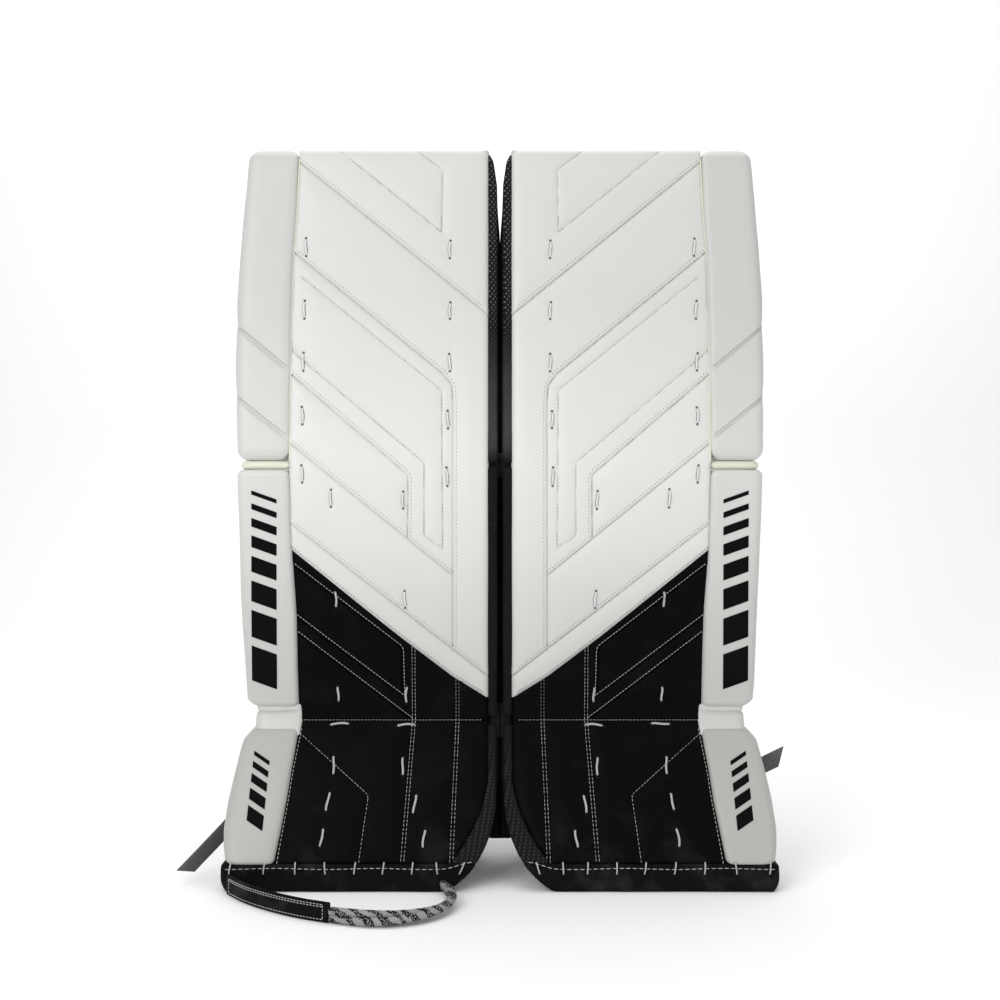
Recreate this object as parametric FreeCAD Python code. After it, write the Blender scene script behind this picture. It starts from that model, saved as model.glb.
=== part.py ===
import FreeCAD, Part
import math
import os

Vector = FreeCAD.Vector

# A pair of ice-hockey goalie leg pads standing side by side.  Millimetres, +Z up, the faces look
# along -Y.  Every piece is drawn for the wearer's right pad, which stands on the -X side, and
# mirrored in X = 0 for the left pad.  The last step moves the pair so that the origin is the
# middle of its base.

# Heights
PAD_HEIGHT = 812.0
KNEE_BREAK_Z = 450.0
BOOT_BREAK_Z = 164.0
TOE_BAND_HEIGHT = 28.0

# Side view: how far forward (-) or back (+) the front skin stands at each height
TOE_Y = -90.0
TOE_BAND_TOP_Y = -88.0
ANKLE_Y = 0.0
KNEE_Y = -4.0
TOP_Y = 27.0
FRONT_LINE = [
    (0.0, TOE_Y),
    (TOE_BAND_HEIGHT, TOE_BAND_TOP_Y),
    (BOOT_BREAK_Z, ANKLE_Y),
    (KNEE_BREAK_Z, KNEE_Y),
    (PAD_HEIGHT, TOP_Y),
]

# Front view: inner edge of the face, seam between face and roll, outer edge of the roll
FACE_EDGE_X = -14.0
SEAM_TOP_X = -228.0
SEAM_KNEE_X = -235.0
SEAM_ANKLE_X = -222.0
SEAM_TOE_X = -238.0
ROLL_TOP_X = -287.0
ROLL_THIGH_X = -296.0
ROLL_KNEE_X = -295.0
ROLL_ANKLE_X = -283.0
ROLL_BOOT_X = -286.0
ROLL_TOE_X = -293.0
TOP_CORNER = 7.0
ROLL_FILLET = 13.0
BOOT_ROLL_FILLET = 10.0
STACK_FILLET = 9.0

# Depths behind the front skin
SKIN = 2.5
ROLL_PROUD = 6.0
CORE_DEPTH = 44.0
ROLL_DEPTH = 50.0
LINER_DEPTH = 49.5
CRADLE_DEPTH = 52.0
SIDE_DEPTH = 47.0
LINER_OUTER_X = -216.0
LINER_INSET = 5.0
CRADLE_LOW_Z = 184.0
CRADLE_TOP_GAP = 6.0
GAP = 0.3

# Notches between the sections
KNEE_NOTCH = 10.0
KNEE_REAR_RELIEF = 10.0
ROLL_REAR_RELIEF = 11.0
ROLL_TAPER_Z = 640.0
ANKLE_NOTCH_LOW_Z = 157.0
ANKLE_NOTCH_HIGH_Z = 179.0
BREAK_GAP = 2.0
BOOT_CORE_TOP_Z = 160.0
SHIN_CORE_LOW_Z = 168.0

# Inner side panel of mesh
SIDE_TOP_SLOPE = 42.0

# Inner toe corner, rounded through three points of the front view: of the leather face, and of
# the mesh side and the binding, which stand outside it
FACE_CORNER = ((FACE_EDGE_X + 0.5, 104.0), (-27.0, 63.0), (-52.0, TOE_BAND_HEIGHT))
SIDE_CORNER = ((-4.5, 98.0), (-14.5, 46.0), (-57.0, 0.0))
SIDE_PROUD_X = -3.5

# Toe binding and the walls of the boot channel
BINDING_DEPTH = 30.0
WALL_THICKNESS = 16.0
INNER_WALL_LIMIT_X = -150.0
BAND_DEPTHS = (4, 16)
CALF_STRAP_DEG = (52, 158)
KNEE_STRAP_DEG = (48, 158)
WALL_INSET = 12.0
OUTER_WALL_X = -234.0
WALL_REAR_Y = 64.0
WALL_TOP_Y = 56.0
WALL_TOP_Z = 150.0

# Calf channel: a round leg space closed by two curved wraps
CALF_X = -128.0
CALF_Y = 54.0
WRAP_INNER_R = 84.0
WRAP_OUTER_R = 98.0
WRAP_LOW_Z = 215.0
WRAP_HIGH_Z = 425.0
WRAP_ROOT_DEG = 2.0
WRAP_TIP_DEG = 80.0

# Knee channel
KNEE_Y_CENTRE = 61.0
WING_LOW_Z = 464.0
WING_HIGH_Z = 576.0
WING_TIP_DEG = 74.0
STACK_X = (-80.0, -22.0)
STACK_Z = (460.0, 572.0)
STACK_DEPTH = 122.0

# Webbing
WEB = 2.2
CALF_STRAP_WIDTH = 50.0
CALF_STRAP_Z = (262.0, 372.0)
KNEE_STRAP_Z = 520.0
BOOT_STRAP_WIDTH = 25.0
BOOT_STRAP_Z = 86.0
BOOT_STRAP_SAG = 46.0
BOOT_STRAP_SEWN_Y = 24.0
BUCKLE_Y = (WALL_REAR_Y - 52.0, WALL_REAR_Y - 24.0)
BUCKLE_BAR = 4.0
BUCKLE_DEPTH = 6.0

# Laces
LACE_LENGTH = 17.0
LACE_WIDTH = 3.0
LACE_PROUD = 1.4
LACE_OFF = 0.05

# Toe strap
TAB_HEIGHT = 20.0
TAB_THICKNESS = 4.0
TAB_Z = 10.5
CORD_DIAMETER = 15.0
CORD_Z = 8.5

# Working box, larger than one pad
FAR = 500.0


def front_y(z):
    """Front skin of the pad at height z."""
    for (low_z, low_y), (high_z, high_y) in zip(FRONT_LINE, FRONT_LINE[1:]):
        if z <= high_z:
            return low_y + (high_y - low_y) * (z - low_z) / (high_z - low_z)
    return FRONT_LINE[-1][1]


def prism(points, direction):
    """Solid from a closed polygon of vectors, pushed along direction."""
    wire = Part.makePolygon(points + points[:1])
    return Part.Face(wire).extrude(direction)


def slab(low, high, near, far, rear_low=0.0, rear_high=0.0):
    """Layer of the pad between two heights and two depths behind the front skin.

    rear_low and rear_high slope the two ends: they lift or drop the end at the back.
    """
    breaks = [z for z, _ in FRONT_LINE if low < z < high]
    heights = [low] + breaks + [high]
    front = [Vector(-FAR, front_y(z) + near, z) for z in heights]
    lifts = [rear_low] + [0.0] * len(breaks) + [rear_high]
    back = [Vector(-FAR, front_y(z) + far, z + lift) for z, lift in zip(heights, lifts)]
    return prism(front + back[::-1], Vector(FAR, 0, 0))


def outline(points):
    """Column through the whole depth of the pad from a polygon of (x, z) points."""
    return prism([Vector(x, -FAR, z) for x, z in points], Vector(0, 2 * FAR, 0))


def band(x_low, x_high):
    """Column between two straight x values over the full height."""
    return outline([(x_low, -1), (x_high, -1), (x_high, PAD_HEIGHT + 1), (x_low, PAD_HEIGHT + 1)])


def rounded(shape, radius, chosen):
    """Shape with the chosen edges rounded."""
    edges = [edge for edge in shape.Edges if chosen(edge)]
    return shape.makeFillet(radius, edges)


def is_upright(edge):
    """True for a straight edge that runs mostly along Z."""
    ends = edge.Vertexes
    if len(ends) != 2:
        return False
    run = ends[1].Point - ends[0].Point
    return run.Length > 20.0 and abs(run.z) > 0.7 * run.Length


def middle(edge):
    """Middle of a straight edge."""
    ends = edge.Vertexes
    return (ends[0].Point + ends[1].Point) * 0.5


def thigh_outline():
    """Face of the thigh section, with its inner top corner taken off."""
    return outline([
        (SEAM_KNEE_X, KNEE_BREAK_Z),
        (FACE_EDGE_X, KNEE_BREAK_Z),
        (FACE_EDGE_X, PAD_HEIGHT - TOP_CORNER),
        (FACE_EDGE_X - TOP_CORNER, PAD_HEIGHT),
        (SEAM_TOP_X, PAD_HEIGHT),
    ])


def shin_outline():
    """Face of the shin section."""
    return outline([
        (SEAM_ANKLE_X, BOOT_BREAK_Z),
        (FACE_EDGE_X, BOOT_BREAK_Z),
        (FACE_EDGE_X, KNEE_BREAK_Z),
        (SEAM_KNEE_X, KNEE_BREAK_Z),
    ])


def toe_face(outer_low_x, outer_high_x, inner_x, corner, inset=0.0):
    """Front view of the boot from an outer edge to its rounded inner toe corner."""
    high, mid, low = [Vector(x - inset, -FAR, z) for x, z in corner]
    top_inner = Vector(inner_x - inset, -FAR, BOOT_BREAK_Z)
    top_outer = Vector(outer_high_x, -FAR, BOOT_BREAK_Z)
    low_outer = Vector(outer_low_x, -FAR, low.z)
    edges = [
        Part.LineSegment(low_outer, top_outer).toShape(),
        Part.LineSegment(top_outer, top_inner).toShape(),
        Part.LineSegment(top_inner, high).toShape(),
        Part.Arc(high, mid, low).toShape(),
        Part.LineSegment(low, low_outer).toShape(),
    ]
    return Part.Face(Part.Wire(edges)).extrude(Vector(0, 2 * FAR, 0))


def leather_toe(inset=0.0):
    """Front view of the leather face of the boot."""
    return toe_face(SEAM_TOE_X, SEAM_ANKLE_X, FACE_EDGE_X, FACE_CORNER, inset)


def mesh_toe(inset=0.0):
    """Front view of the boot out to its mesh side."""
    return toe_face(SEAM_TOE_X, SEAM_ANKLE_X, SIDE_PROUD_X, SIDE_CORNER, inset)


def thigh_face():
    """Skin of the thigh section."""
    return slab(KNEE_BREAK_Z + BREAK_GAP, PAD_HEIGHT, 0, SKIN).common(thigh_outline())


def thigh_core():
    """Foam board behind the thigh skin, cut back at the knee so that it can bend."""
    board = slab(KNEE_BREAK_Z + BREAK_GAP, PAD_HEIGHT - 1, SKIN + GAP, CORE_DEPTH, rear_low=KNEE_REAR_RELIEF)
    return board.common(thigh_outline()).common(band(SEAM_KNEE_X, FACE_EDGE_X - GAP))


def thigh_liner():
    """Knitted cover on the back of the thigh section."""
    low = KNEE_BREAK_Z + BREAK_GAP + KNEE_REAR_RELIEF + 1
    return slab(low, PAD_HEIGHT - 2, CORE_DEPTH + GAP, LINER_DEPTH).common(band(LINER_OUTER_X, FACE_EDGE_X - LINER_INSET))


def roll(edge_points, low_seam, high_seam, relief):
    """Outer roll of one section: a padded box that stands a little proud of the face.

    edge_points are the (x, z) points of its outer edge, from the bottom up.
    """
    low = edge_points[0][1]
    high = edge_points[-1][1]
    column = outline([(high_seam - GAP, high), (low_seam - GAP, low)] + edge_points)
    body = slab(low, high, -ROLL_PROUD, ROLL_DEPTH, rear_low=relief).common(column)
    outside = (low_seam + edge_points[0][0]) / 2
    return rounded(body, ROLL_FILLET, lambda edge: is_upright(edge) and middle(edge).x < outside)


def seam_x(z):
    """Seam between face and roll above the ankle."""
    if z > KNEE_BREAK_Z:
        return SEAM_KNEE_X + (SEAM_TOP_X - SEAM_KNEE_X) * (z - KNEE_BREAK_Z) / (PAD_HEIGHT - KNEE_BREAK_Z)
    return SEAM_ANKLE_X + (SEAM_KNEE_X - SEAM_ANKLE_X) * (z - BOOT_BREAK_Z) / (KNEE_BREAK_Z - BOOT_BREAK_Z)


def thigh_roll():
    """Outer roll of the thigh section."""
    low = KNEE_BREAK_Z + KNEE_NOTCH / 2
    edge_points = [(ROLL_KNEE_X, low), (ROLL_THIGH_X, ROLL_TAPER_Z), (ROLL_TOP_X, PAD_HEIGHT - 2)]
    return roll(edge_points, seam_x(low), SEAM_TOP_X, ROLL_REAR_RELIEF)


def shin_roll():
    """Outer roll of the shin section."""
    high = KNEE_BREAK_Z - KNEE_NOTCH / 2
    low = ANKLE_NOTCH_HIGH_Z
    return roll([(ROLL_ANKLE_X, low), (ROLL_KNEE_X, high)], seam_x(low), seam_x(high), 0)


def boot_roll():
    """Outer roll of the boot, from the ankle notch down to the toe binding."""
    column = outline([
        (ROLL_TOE_X, TOE_BAND_HEIGHT + GAP),
        (SEAM_TOE_X - GAP, TOE_BAND_HEIGHT + GAP),
        (SEAM_ANKLE_X - 2, ANKLE_NOTCH_LOW_Z),
        (ROLL_BOOT_X, ANKLE_NOTCH_LOW_Z),
    ])
    body = slab(TOE_BAND_HEIGHT + GAP, ANKLE_NOTCH_LOW_Z, -ROLL_PROUD, CORE_DEPTH).common(column)
    return rounded(body, BOOT_ROLL_FILLET, lambda edge: is_upright(edge) and middle(edge).x < SEAM_TOE_X - 20)


def side_column():
    """Front view of the inner side panel, sloped away at its top."""
    return outline([
        (FACE_EDGE_X, 0),
        (SIDE_PROUD_X, 0),
        (SIDE_PROUD_X, PAD_HEIGHT - SIDE_TOP_SLOPE),
        (SIDE_PROUD_X - 4, PAD_HEIGHT - SIDE_TOP_SLOPE / 3),
        (FACE_EDGE_X, PAD_HEIGHT - 2),
    ])


def thigh_side():
    """Padded mesh panel on the inner side of the thigh section."""
    low = KNEE_BREAK_Z + BREAK_GAP
    return slab(low, PAD_HEIGHT - 2, 1, SIDE_DEPTH, rear_low=KNEE_REAR_RELIEF).common(side_column())


def shin_side():
    """Padded mesh panel on the inner side of the shin section."""
    return slab(SHIN_CORE_LOW_Z, KNEE_BREAK_Z - BREAK_GAP, 1, SIDE_DEPTH).common(side_column())


def shin_face():
    """Skin of the shin section."""
    return slab(BOOT_BREAK_Z + BREAK_GAP, KNEE_BREAK_Z - BREAK_GAP, 0, SKIN).common(shin_outline())


def shin_core():
    """Foam board behind the shin skin."""
    board = slab(SHIN_CORE_LOW_Z, KNEE_BREAK_Z - BREAK_GAP, SKIN + GAP, CORE_DEPTH)
    return board.common(shin_outline()).common(band(SEAM_KNEE_X, FACE_EDGE_X - GAP))


def leg_cradle():
    """Padded, knit covered bed that the shin lies against."""
    return slab(CRADLE_LOW_Z, KNEE_BREAK_Z - CRADLE_TOP_GAP, CORE_DEPTH + GAP, CRADLE_DEPTH).common(band(LINER_OUTER_X, FACE_EDGE_X - LINER_INSET))


def boot_face():
    """Skin of the boot from the break down to the toe binding."""
    sheet = slab(TOE_BAND_HEIGHT + GAP, BOOT_BREAK_Z - BREAK_GAP, 0, SKIN)
    return sheet.common(leather_toe())


def boot_core():
    """Foam board behind the boot skin."""
    board = slab(TOE_BAND_HEIGHT + GAP, BOOT_CORE_TOP_Z, SKIN + GAP, CORE_DEPTH)
    return board.common(leather_toe(GAP))


def toe_binding():
    """Leather binding round the front lower edge of the toe."""
    strip = slab(0, TOE_BAND_HEIGHT, -1, BINDING_DEPTH)
    return strip.common(toe_face(ROLL_TOE_X, ROLL_TOE_X, SIDE_PROUD_X, SIDE_CORNER))


def wall(x_low, x_high):
    """Side view of the boot channel's walls, which stand behind the foam board."""
    foot_y = front_y(TOE_BAND_HEIGHT) + CORE_DEPTH + GAP
    profile = [
        Vector(x_low, foot_y, 0),
        Vector(x_low, WALL_REAR_Y, 0),
        Vector(x_low, WALL_TOP_Y, WALL_TOP_Z),
        Vector(x_low, front_y(WALL_TOP_Z) + CORE_DEPTH + GAP, WALL_TOP_Z),
        Vector(x_low, foot_y, TOE_BAND_HEIGHT),
    ]
    return prism(profile, Vector(x_high - x_low, 0, 0))


def boot_side():
    """Mesh side panel of the boot and the two walls of the channel for the skate."""
    panel = slab(TOE_BAND_HEIGHT + GAP, BOOT_CORE_TOP_Z, 1, CORE_DEPTH)
    inner_strip = panel.common(mesh_toe().cut(leather_toe()))
    inner_wall = wall(INNER_WALL_LIMIT_X, 0).common(mesh_toe(WALL_INSET).cut(mesh_toe(WALL_INSET + WALL_THICKNESS)))
    outer_wall = wall(OUTER_WALL_X, OUTER_WALL_X + WALL_THICKNESS)
    return Part.makeCompound([inner_strip, inner_wall, outer_wall])


def lace(x, z, standing=True):
    """One visible stitch of lace, lying on the skin."""
    tall = LACE_LENGTH if standing else LACE_WIDTH
    wide = LACE_WIDTH if standing else LACE_LENGTH
    strip = slab(z - tall / 2, z + tall / 2, -LACE_PROUD, -LACE_OFF)
    return strip.common(band(x - wide / 2, x + wide / 2))


def thigh_lacing():
    """Lace stitches of the thigh section: two columns of four."""
    return Part.makeCompound([lace(x, z) for x in (-220, -57) for z in (696, 625, 566, 504)])


def shin_lacing():
    """Lace stitches of the shin section: the lowest pair of the long columns and three rows inside."""
    spots = [(-220, 438), (-59, 438), (-188, 412), (-108, 411)]
    spots += [(-184, 300), (-106, 300), (-181, 194), (-105, 193)]
    return Part.makeCompound([lace(x, z) for x, z in spots])


def boot_lacing():
    """Lace stitches of the boot: two columns that spread towards the toe, and a pair at the break."""
    spots = [(-182, 120), (-184, 85), (-189, 52), (-107, 120), (-92, 85), (-81, 52)]
    upright = [lace(x, z) for x, z in spots]
    flat = [lace(x, 157, standing=False) for x in (-179, -104)]
    return Part.makeCompound(upright + flat)


def ankle_band():
    """Soft strip that bridges the notch between the shin roll and the boot roll."""
    strip = slab(ANKLE_NOTCH_LOW_Z + 5, ANKLE_NOTCH_HIGH_Z - 1, *BAND_DEPTHS)
    return strip.common(band(ROLL_ANKLE_X + 4, SEAM_ANKLE_X - 2))


def arc_plate(centre_y, low_z, high_z, inner_r, outer_r, start_deg, end_deg):
    """Upright curved plate round the leg, between two angles measured from +X."""
    def point(radius, degrees):
        angle = math.radians(degrees)
        return Vector(CALF_X + radius * math.cos(angle), centre_y + radius * math.sin(angle), low_z)
    half = (start_deg + end_deg) / 2
    edges = [
        Part.Arc(point(inner_r, start_deg), point(inner_r, half), point(inner_r, end_deg)).toShape(),
        Part.LineSegment(point(inner_r, end_deg), point(outer_r, end_deg)).toShape(),
        Part.Arc(point(outer_r, end_deg), point(outer_r, half), point(outer_r, start_deg)).toShape(),
        Part.LineSegment(point(outer_r, start_deg), point(inner_r, start_deg)).toShape(),
    ]
    return Part.Face(Part.Wire(edges)).extrude(Vector(0, 0, high_z - low_z))


def calf_wrap_outer():
    """Padded wrap round the outer side of the calf."""
    return arc_plate(CALF_Y, WRAP_LOW_Z, WRAP_HIGH_Z, WRAP_INNER_R, WRAP_OUTER_R,
                     180 - WRAP_TIP_DEG, 180 - WRAP_ROOT_DEG)


def calf_wrap_inner():
    """Padded wrap round the inner side of the calf."""
    return arc_plate(CALF_Y, WRAP_LOW_Z, WRAP_HIGH_Z, WRAP_INNER_R, WRAP_OUTER_R,
                     WRAP_ROOT_DEG, WRAP_TIP_DEG)


def web_arc(centre_y, z, start_deg, end_deg):
    """Piece of wide webbing laid round the outside of a wrap."""
    low = z - CALF_STRAP_WIDTH / 2
    inner = WRAP_OUTER_R + 2 * GAP
    return arc_plate(centre_y, low, low + CALF_STRAP_WIDTH, inner, inner + WEB, start_deg, end_deg)


def calf_strap():
    """Two hook-and-loop straps sewn to the outer wrap, which close on the inner wrap."""
    return Part.makeCompound([web_arc(CALF_Y, z, *CALF_STRAP_DEG) for z in CALF_STRAP_Z])


def knee_wing():
    """Padded wing on the outer side of the knee."""
    return arc_plate(KNEE_Y_CENTRE, WING_LOW_Z, WING_HIGH_Z, WRAP_INNER_R, WRAP_OUTER_R,
                     180 - WING_TIP_DEG, 180 - WRAP_ROOT_DEG)


def knee_strap():
    """Hook-and-loop strap from the knee wing to the knee stack."""
    return web_arc(KNEE_Y_CENTRE, KNEE_STRAP_Z, *KNEE_STRAP_DEG)


def knee_stack():
    """Block of foam that the knee lands on, on the inner side."""
    block = slab(STACK_Z[0] + KNEE_REAR_RELIEF, STACK_Z[1], LINER_DEPTH + GAP, STACK_DEPTH)
    block = block.common(band(*STACK_X))
    return rounded(block, STACK_FILLET, lambda edge: is_upright(edge) and middle(edge).y > STACK_DEPTH - 20)


def ribbon(points, width, thickness, lean):
    """Flat webbing through a list of points; lean is the direction across its width."""
    sections = []
    for index, point in enumerate(points):
        before = points[max(index - 1, 0)]
        after = points[min(index + 1, len(points) - 1)]
        along = (after - before).normalize()
        across = (lean - along * lean.dot(along)).normalize()
        out = along.cross(across)
        half_w = across * (width / 2)
        half_t = out * (thickness / 2)
        corners = [point - half_w - half_t, point + half_w - half_t, point + half_w + half_t, point - half_w + half_t]
        sections.append(Part.makePolygon(corners + corners[:1]))
    return Part.makeLoft(sections, True, True)


def boot_strap():
    """Webbing from the inner wall round the back of the skate and along the outer wall to the buckle."""
    low = BOOT_STRAP_Z - BOOT_STRAP_WIDTH / 2
    rear_y = WALL_REAR_Y - 2.0

    def side_points(offset):
        inner_x = SIDE_PROUD_X - WALL_INSET + GAP + offset
        outer_x = OUTER_WALL_X - GAP - offset
        return inner_x, outer_x, Vector((inner_x + outer_x) / 2, rear_y + BOOT_STRAP_SAG + offset, low)
    near_inner, near_outer, near_top = side_points(0)
    far_inner, far_outer, far_top = side_points(WEB)
    corners = [
        Vector(near_inner, BOOT_STRAP_SEWN_Y, low),
        Vector(near_inner, rear_y, low),
        Vector(near_outer, rear_y, low),
        Vector(near_outer, BUCKLE_Y[1] + GAP, low),
        Vector(far_outer, BUCKLE_Y[1] + GAP, low),
        Vector(far_outer, rear_y, low),
        Vector(far_inner, rear_y, low),
        Vector(far_inner, BOOT_STRAP_SEWN_Y, low),
    ]
    edges = [
        Part.LineSegment(corners[0], corners[1]).toShape(),
        Part.Arc(corners[1], near_top, corners[2]).toShape(),
        Part.LineSegment(corners[2], corners[3]).toShape(),
        Part.LineSegment(corners[3], corners[4]).toShape(),
        Part.LineSegment(corners[4], corners[5]).toShape(),
        Part.Arc(corners[5], far_top, corners[6]).toShape(),
        Part.LineSegment(corners[6], corners[7]).toShape(),
        Part.LineSegment(corners[7], corners[0]).toShape(),
    ]
    return Part.Face(Part.Wire(edges)).extrude(Vector(0, 0, BOOT_STRAP_WIDTH))


def boot_buckle():
    """Plastic ladder buckle on the outer wall: a frame with two windows."""
    tall = BOOT_STRAP_WIDTH + 2 * BUCKLE_BAR
    low_z = BOOT_STRAP_Z - tall / 2
    length = BUCKLE_Y[1] - BUCKLE_Y[0]
    left = OUTER_WALL_X - GAP - BUCKLE_DEPTH
    frame = Part.makeBox(BUCKLE_DEPTH, length, tall, Vector(left, BUCKLE_Y[0], low_z))
    window = (length - 3 * BUCKLE_BAR) / 2
    for start in (BUCKLE_Y[0] + BUCKLE_BAR, BUCKLE_Y[0] + 2 * BUCKLE_BAR + window):
        hole = Part.makeBox(2 * BUCKLE_DEPTH, window, BOOT_STRAP_WIDTH,
                            Vector(left - BUCKLE_DEPTH / 2, start, low_z + BUCKLE_BAR))
        frame = frame.cut(hole)
    return frame


def boot_strap_end(route):
    """Loose end of the boot strap beyond the buckle."""
    return ribbon([Vector(*point) for point in route], BOOT_STRAP_WIDTH * 0.8, WEB, Vector(0, 0, 1))


def cord_tube(route, radius):
    """Round cord along a route of straight runs joined by tangent arcs; returns its solid."""
    points = [Vector(*point) for point in route]
    edges = []
    start = points[0]
    for before, corner, after in zip(points, points[1:], points[2:]):
        into = corner - before
        out = after - corner
        shorter = min(into.Length, out.Length)
        turn = into.getAngle(out)
        arc_radius = 0.45 * shorter / math.tan(turn / 2)
        trim = 0.45 * shorter
        into.normalize()
        out.normalize()
        first = corner - into * trim
        last = corner + out * trim
        bisector = (out - into).normalize()
        centre = corner + bisector * (arc_radius / math.cos(turn / 2))
        halfway = centre + (corner - centre).normalize() * arc_radius
        edges.append(Part.LineSegment(start, first).toShape())
        edges.append(Part.Arc(first, halfway, last).toShape())
        print("cord turn", round(math.degrees(turn), 1), "radius", round(arc_radius, 1))
        start = last
    edges.append(Part.LineSegment(start, points[-1]).toShape())
    path = Part.Wire(edges)
    section = Part.Wire(Part.Circle(points[0], points[1] - points[0], radius).toShape())
    tube = path.makePipeShell([section], True, False)
    print("cord length", round(path.Length, 1), "volume ratio",
          round(tube.Volume / (math.pi * radius ** 2 * path.Length), 4))
    return tube


# Routes of the two toe straps and loose strap ends, chosen by hand.  The right pad's toe strap
# lies on the floor in front of the toe; the left pad's is tucked into its boot channel.
TAB_ROUTE_FRONT = [
    (-283, -97, TAB_Z),
    (-262, -124, TAB_Z),
    (-232, -150, TAB_Z),
    (-198, -172, TAB_Z),
    (-166, -186, TAB_Z),
]
CORD_ROUTE_FRONT = [
    (-165, -186, CORD_Z),
    (-138, -196, CORD_Z),
    (-108, -198, CORD_Z),
    (-79, -188, CORD_Z),
    (-57, -167, CORD_Z),
    (-48, -139, CORD_Z),
    (-51, -114, CORD_Z),
    (-59, -94, CORD_Z),
]
TAB_ROUTE_TUCKED = [(-206, -28, TAB_Z), (-210, -8, TAB_Z), (-205, 12, TAB_Z), (-193, 28, TAB_Z), (-176, 38, TAB_Z)]
CORD_ROUTE_TUCKED = [
    (-175, 38, CORD_Z),
    (-154, 44, CORD_Z),
    (-132, 43, CORD_Z),
    (-113, 32, CORD_Z),
    (-101, 14, CORD_Z),
    (-98, -8, CORD_Z),
    (-104, -29, CORD_Z),
]
STRAP_END_DOWN = [(-243, 28, 86), (-249, 14, 84), (-268, 8, 76), (-291, -2, 60), (-314, -26, 36), (-338, -56, 12)]
STRAP_END_UP = [(-243, 28, 86), (-249, 14, 88), (-268, 14, 96), (-292, 16, 108), (-317, 10, 122)]


def toe_tab(route):
    """Stitched leather tab of the toe strap, standing on its edge."""
    return ribbon([Vector(*point) for point in route], TAB_HEIGHT, TAB_THICKNESS, Vector(0, 0, 1))


SHARED = {
    "thigh_face": thigh_face,
    "thigh_core": thigh_core,
    "thigh_liner": thigh_liner,
    "thigh_roll": thigh_roll,
    "thigh_side": thigh_side,
    "thigh_lacing": thigh_lacing,
    "shin_face": shin_face,
    "shin_core": shin_core,
    "shin_roll": shin_roll,
    "shin_side": shin_side,
    "shin_lacing": shin_lacing,
    "leg_cradle": leg_cradle,
    "boot_face": boot_face,
    "boot_core": boot_core,
    "boot_roll": boot_roll,
    "boot_side": boot_side,
    "boot_lacing": boot_lacing,
    "toe_binding": toe_binding,
    "ankle_band": ankle_band,
    "knee_stack": knee_stack,
    "knee_wing": knee_wing,
    "knee_strap": knee_strap,
    "calf_wrap_outer": calf_wrap_outer,
    "calf_wrap_inner": calf_wrap_inner,
    "calf_strap": calf_strap,
    "boot_strap": boot_strap,
    "boot_buckle": boot_buckle,
}


def build():
    """All nodes of the pair, by name, before the pair is centred."""
    nodes = {}
    for name, make in SHARED.items():
        nodes["right_" + name] = make()
    nodes["right_boot_strap_end"] = boot_strap_end(STRAP_END_DOWN)
    nodes["right_toe_tab"] = toe_tab(TAB_ROUTE_FRONT)
    nodes["right_toe_cord"] = cord_tube(CORD_ROUTE_FRONT, CORD_DIAMETER / 2)
    left_only = {
        "boot_strap_end": boot_strap_end(STRAP_END_UP),
        "toe_tab": toe_tab(TAB_ROUTE_TUCKED),
        "toe_cord": cord_tube(CORD_ROUTE_TUCKED, CORD_DIAMETER / 2),
    }
    for name in SHARED:
        nodes["left_" + name] = nodes["right_" + name].mirror(Vector(0, 0, 0), Vector(1, 0, 0))
    for name, shape in left_only.items():
        nodes["left_" + name] = shape.mirror(Vector(0, 0, 0), Vector(1, 0, 0))
    return nodes


def centred(nodes):
    """The same nodes moved so that the pair's box without its cords is centred on the origin."""
    box = FreeCAD.BoundBox()
    for name, shape in nodes.items():
        if not name.endswith("toe_cord"):
            box.add(shape.BoundBox)
    shift = Vector(-box.Center.x, -box.Center.y, -box.ZMin)
    print("moved by", [round(value, 2) for value in shift])
    for shape in nodes.values():
        shape.translate(shift)
    return nodes


os.makedirs("parts", exist_ok=True)
for node_name, node_shape in centred(build()).items():
    if not node_shape.isValid():
        print("invalid", node_name)
    node_shape.exportStep("parts/" + node_name + ".step")
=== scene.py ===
"""A pair of goalie leg pads: quilted leather faces, padded rolls, mesh sides, wraps, straps and laces.

Pad space, used all through, is (u, z) on the front of one pad: u is the distance outwards from the
plane between the two pads and z is the height, both in metres.  The same shape serves both pads.
"""

import math
import random

import bmesh
import bpy
import numpy as np
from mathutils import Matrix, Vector, geometry, noise


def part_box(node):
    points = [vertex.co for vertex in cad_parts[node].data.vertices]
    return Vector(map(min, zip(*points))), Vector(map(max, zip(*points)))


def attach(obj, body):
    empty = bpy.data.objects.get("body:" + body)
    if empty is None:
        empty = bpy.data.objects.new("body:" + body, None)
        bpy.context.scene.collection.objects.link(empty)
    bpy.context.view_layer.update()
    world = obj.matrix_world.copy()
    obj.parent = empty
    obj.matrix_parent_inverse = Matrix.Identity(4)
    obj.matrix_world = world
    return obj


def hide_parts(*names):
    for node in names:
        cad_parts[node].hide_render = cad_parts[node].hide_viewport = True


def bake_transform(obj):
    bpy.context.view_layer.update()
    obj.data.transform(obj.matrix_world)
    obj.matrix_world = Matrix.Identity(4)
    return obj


bl_info = {
    "name": "Goalie leg pads",
    "version": (1, 0, 0),
    "blender": (4, 5, 0),
    "location": "3D View > Sidebar > Leg Pads",
    "description": "Builds a pair of goalie leg pads round a packed frame",
    "category": "Object",
}

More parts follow.
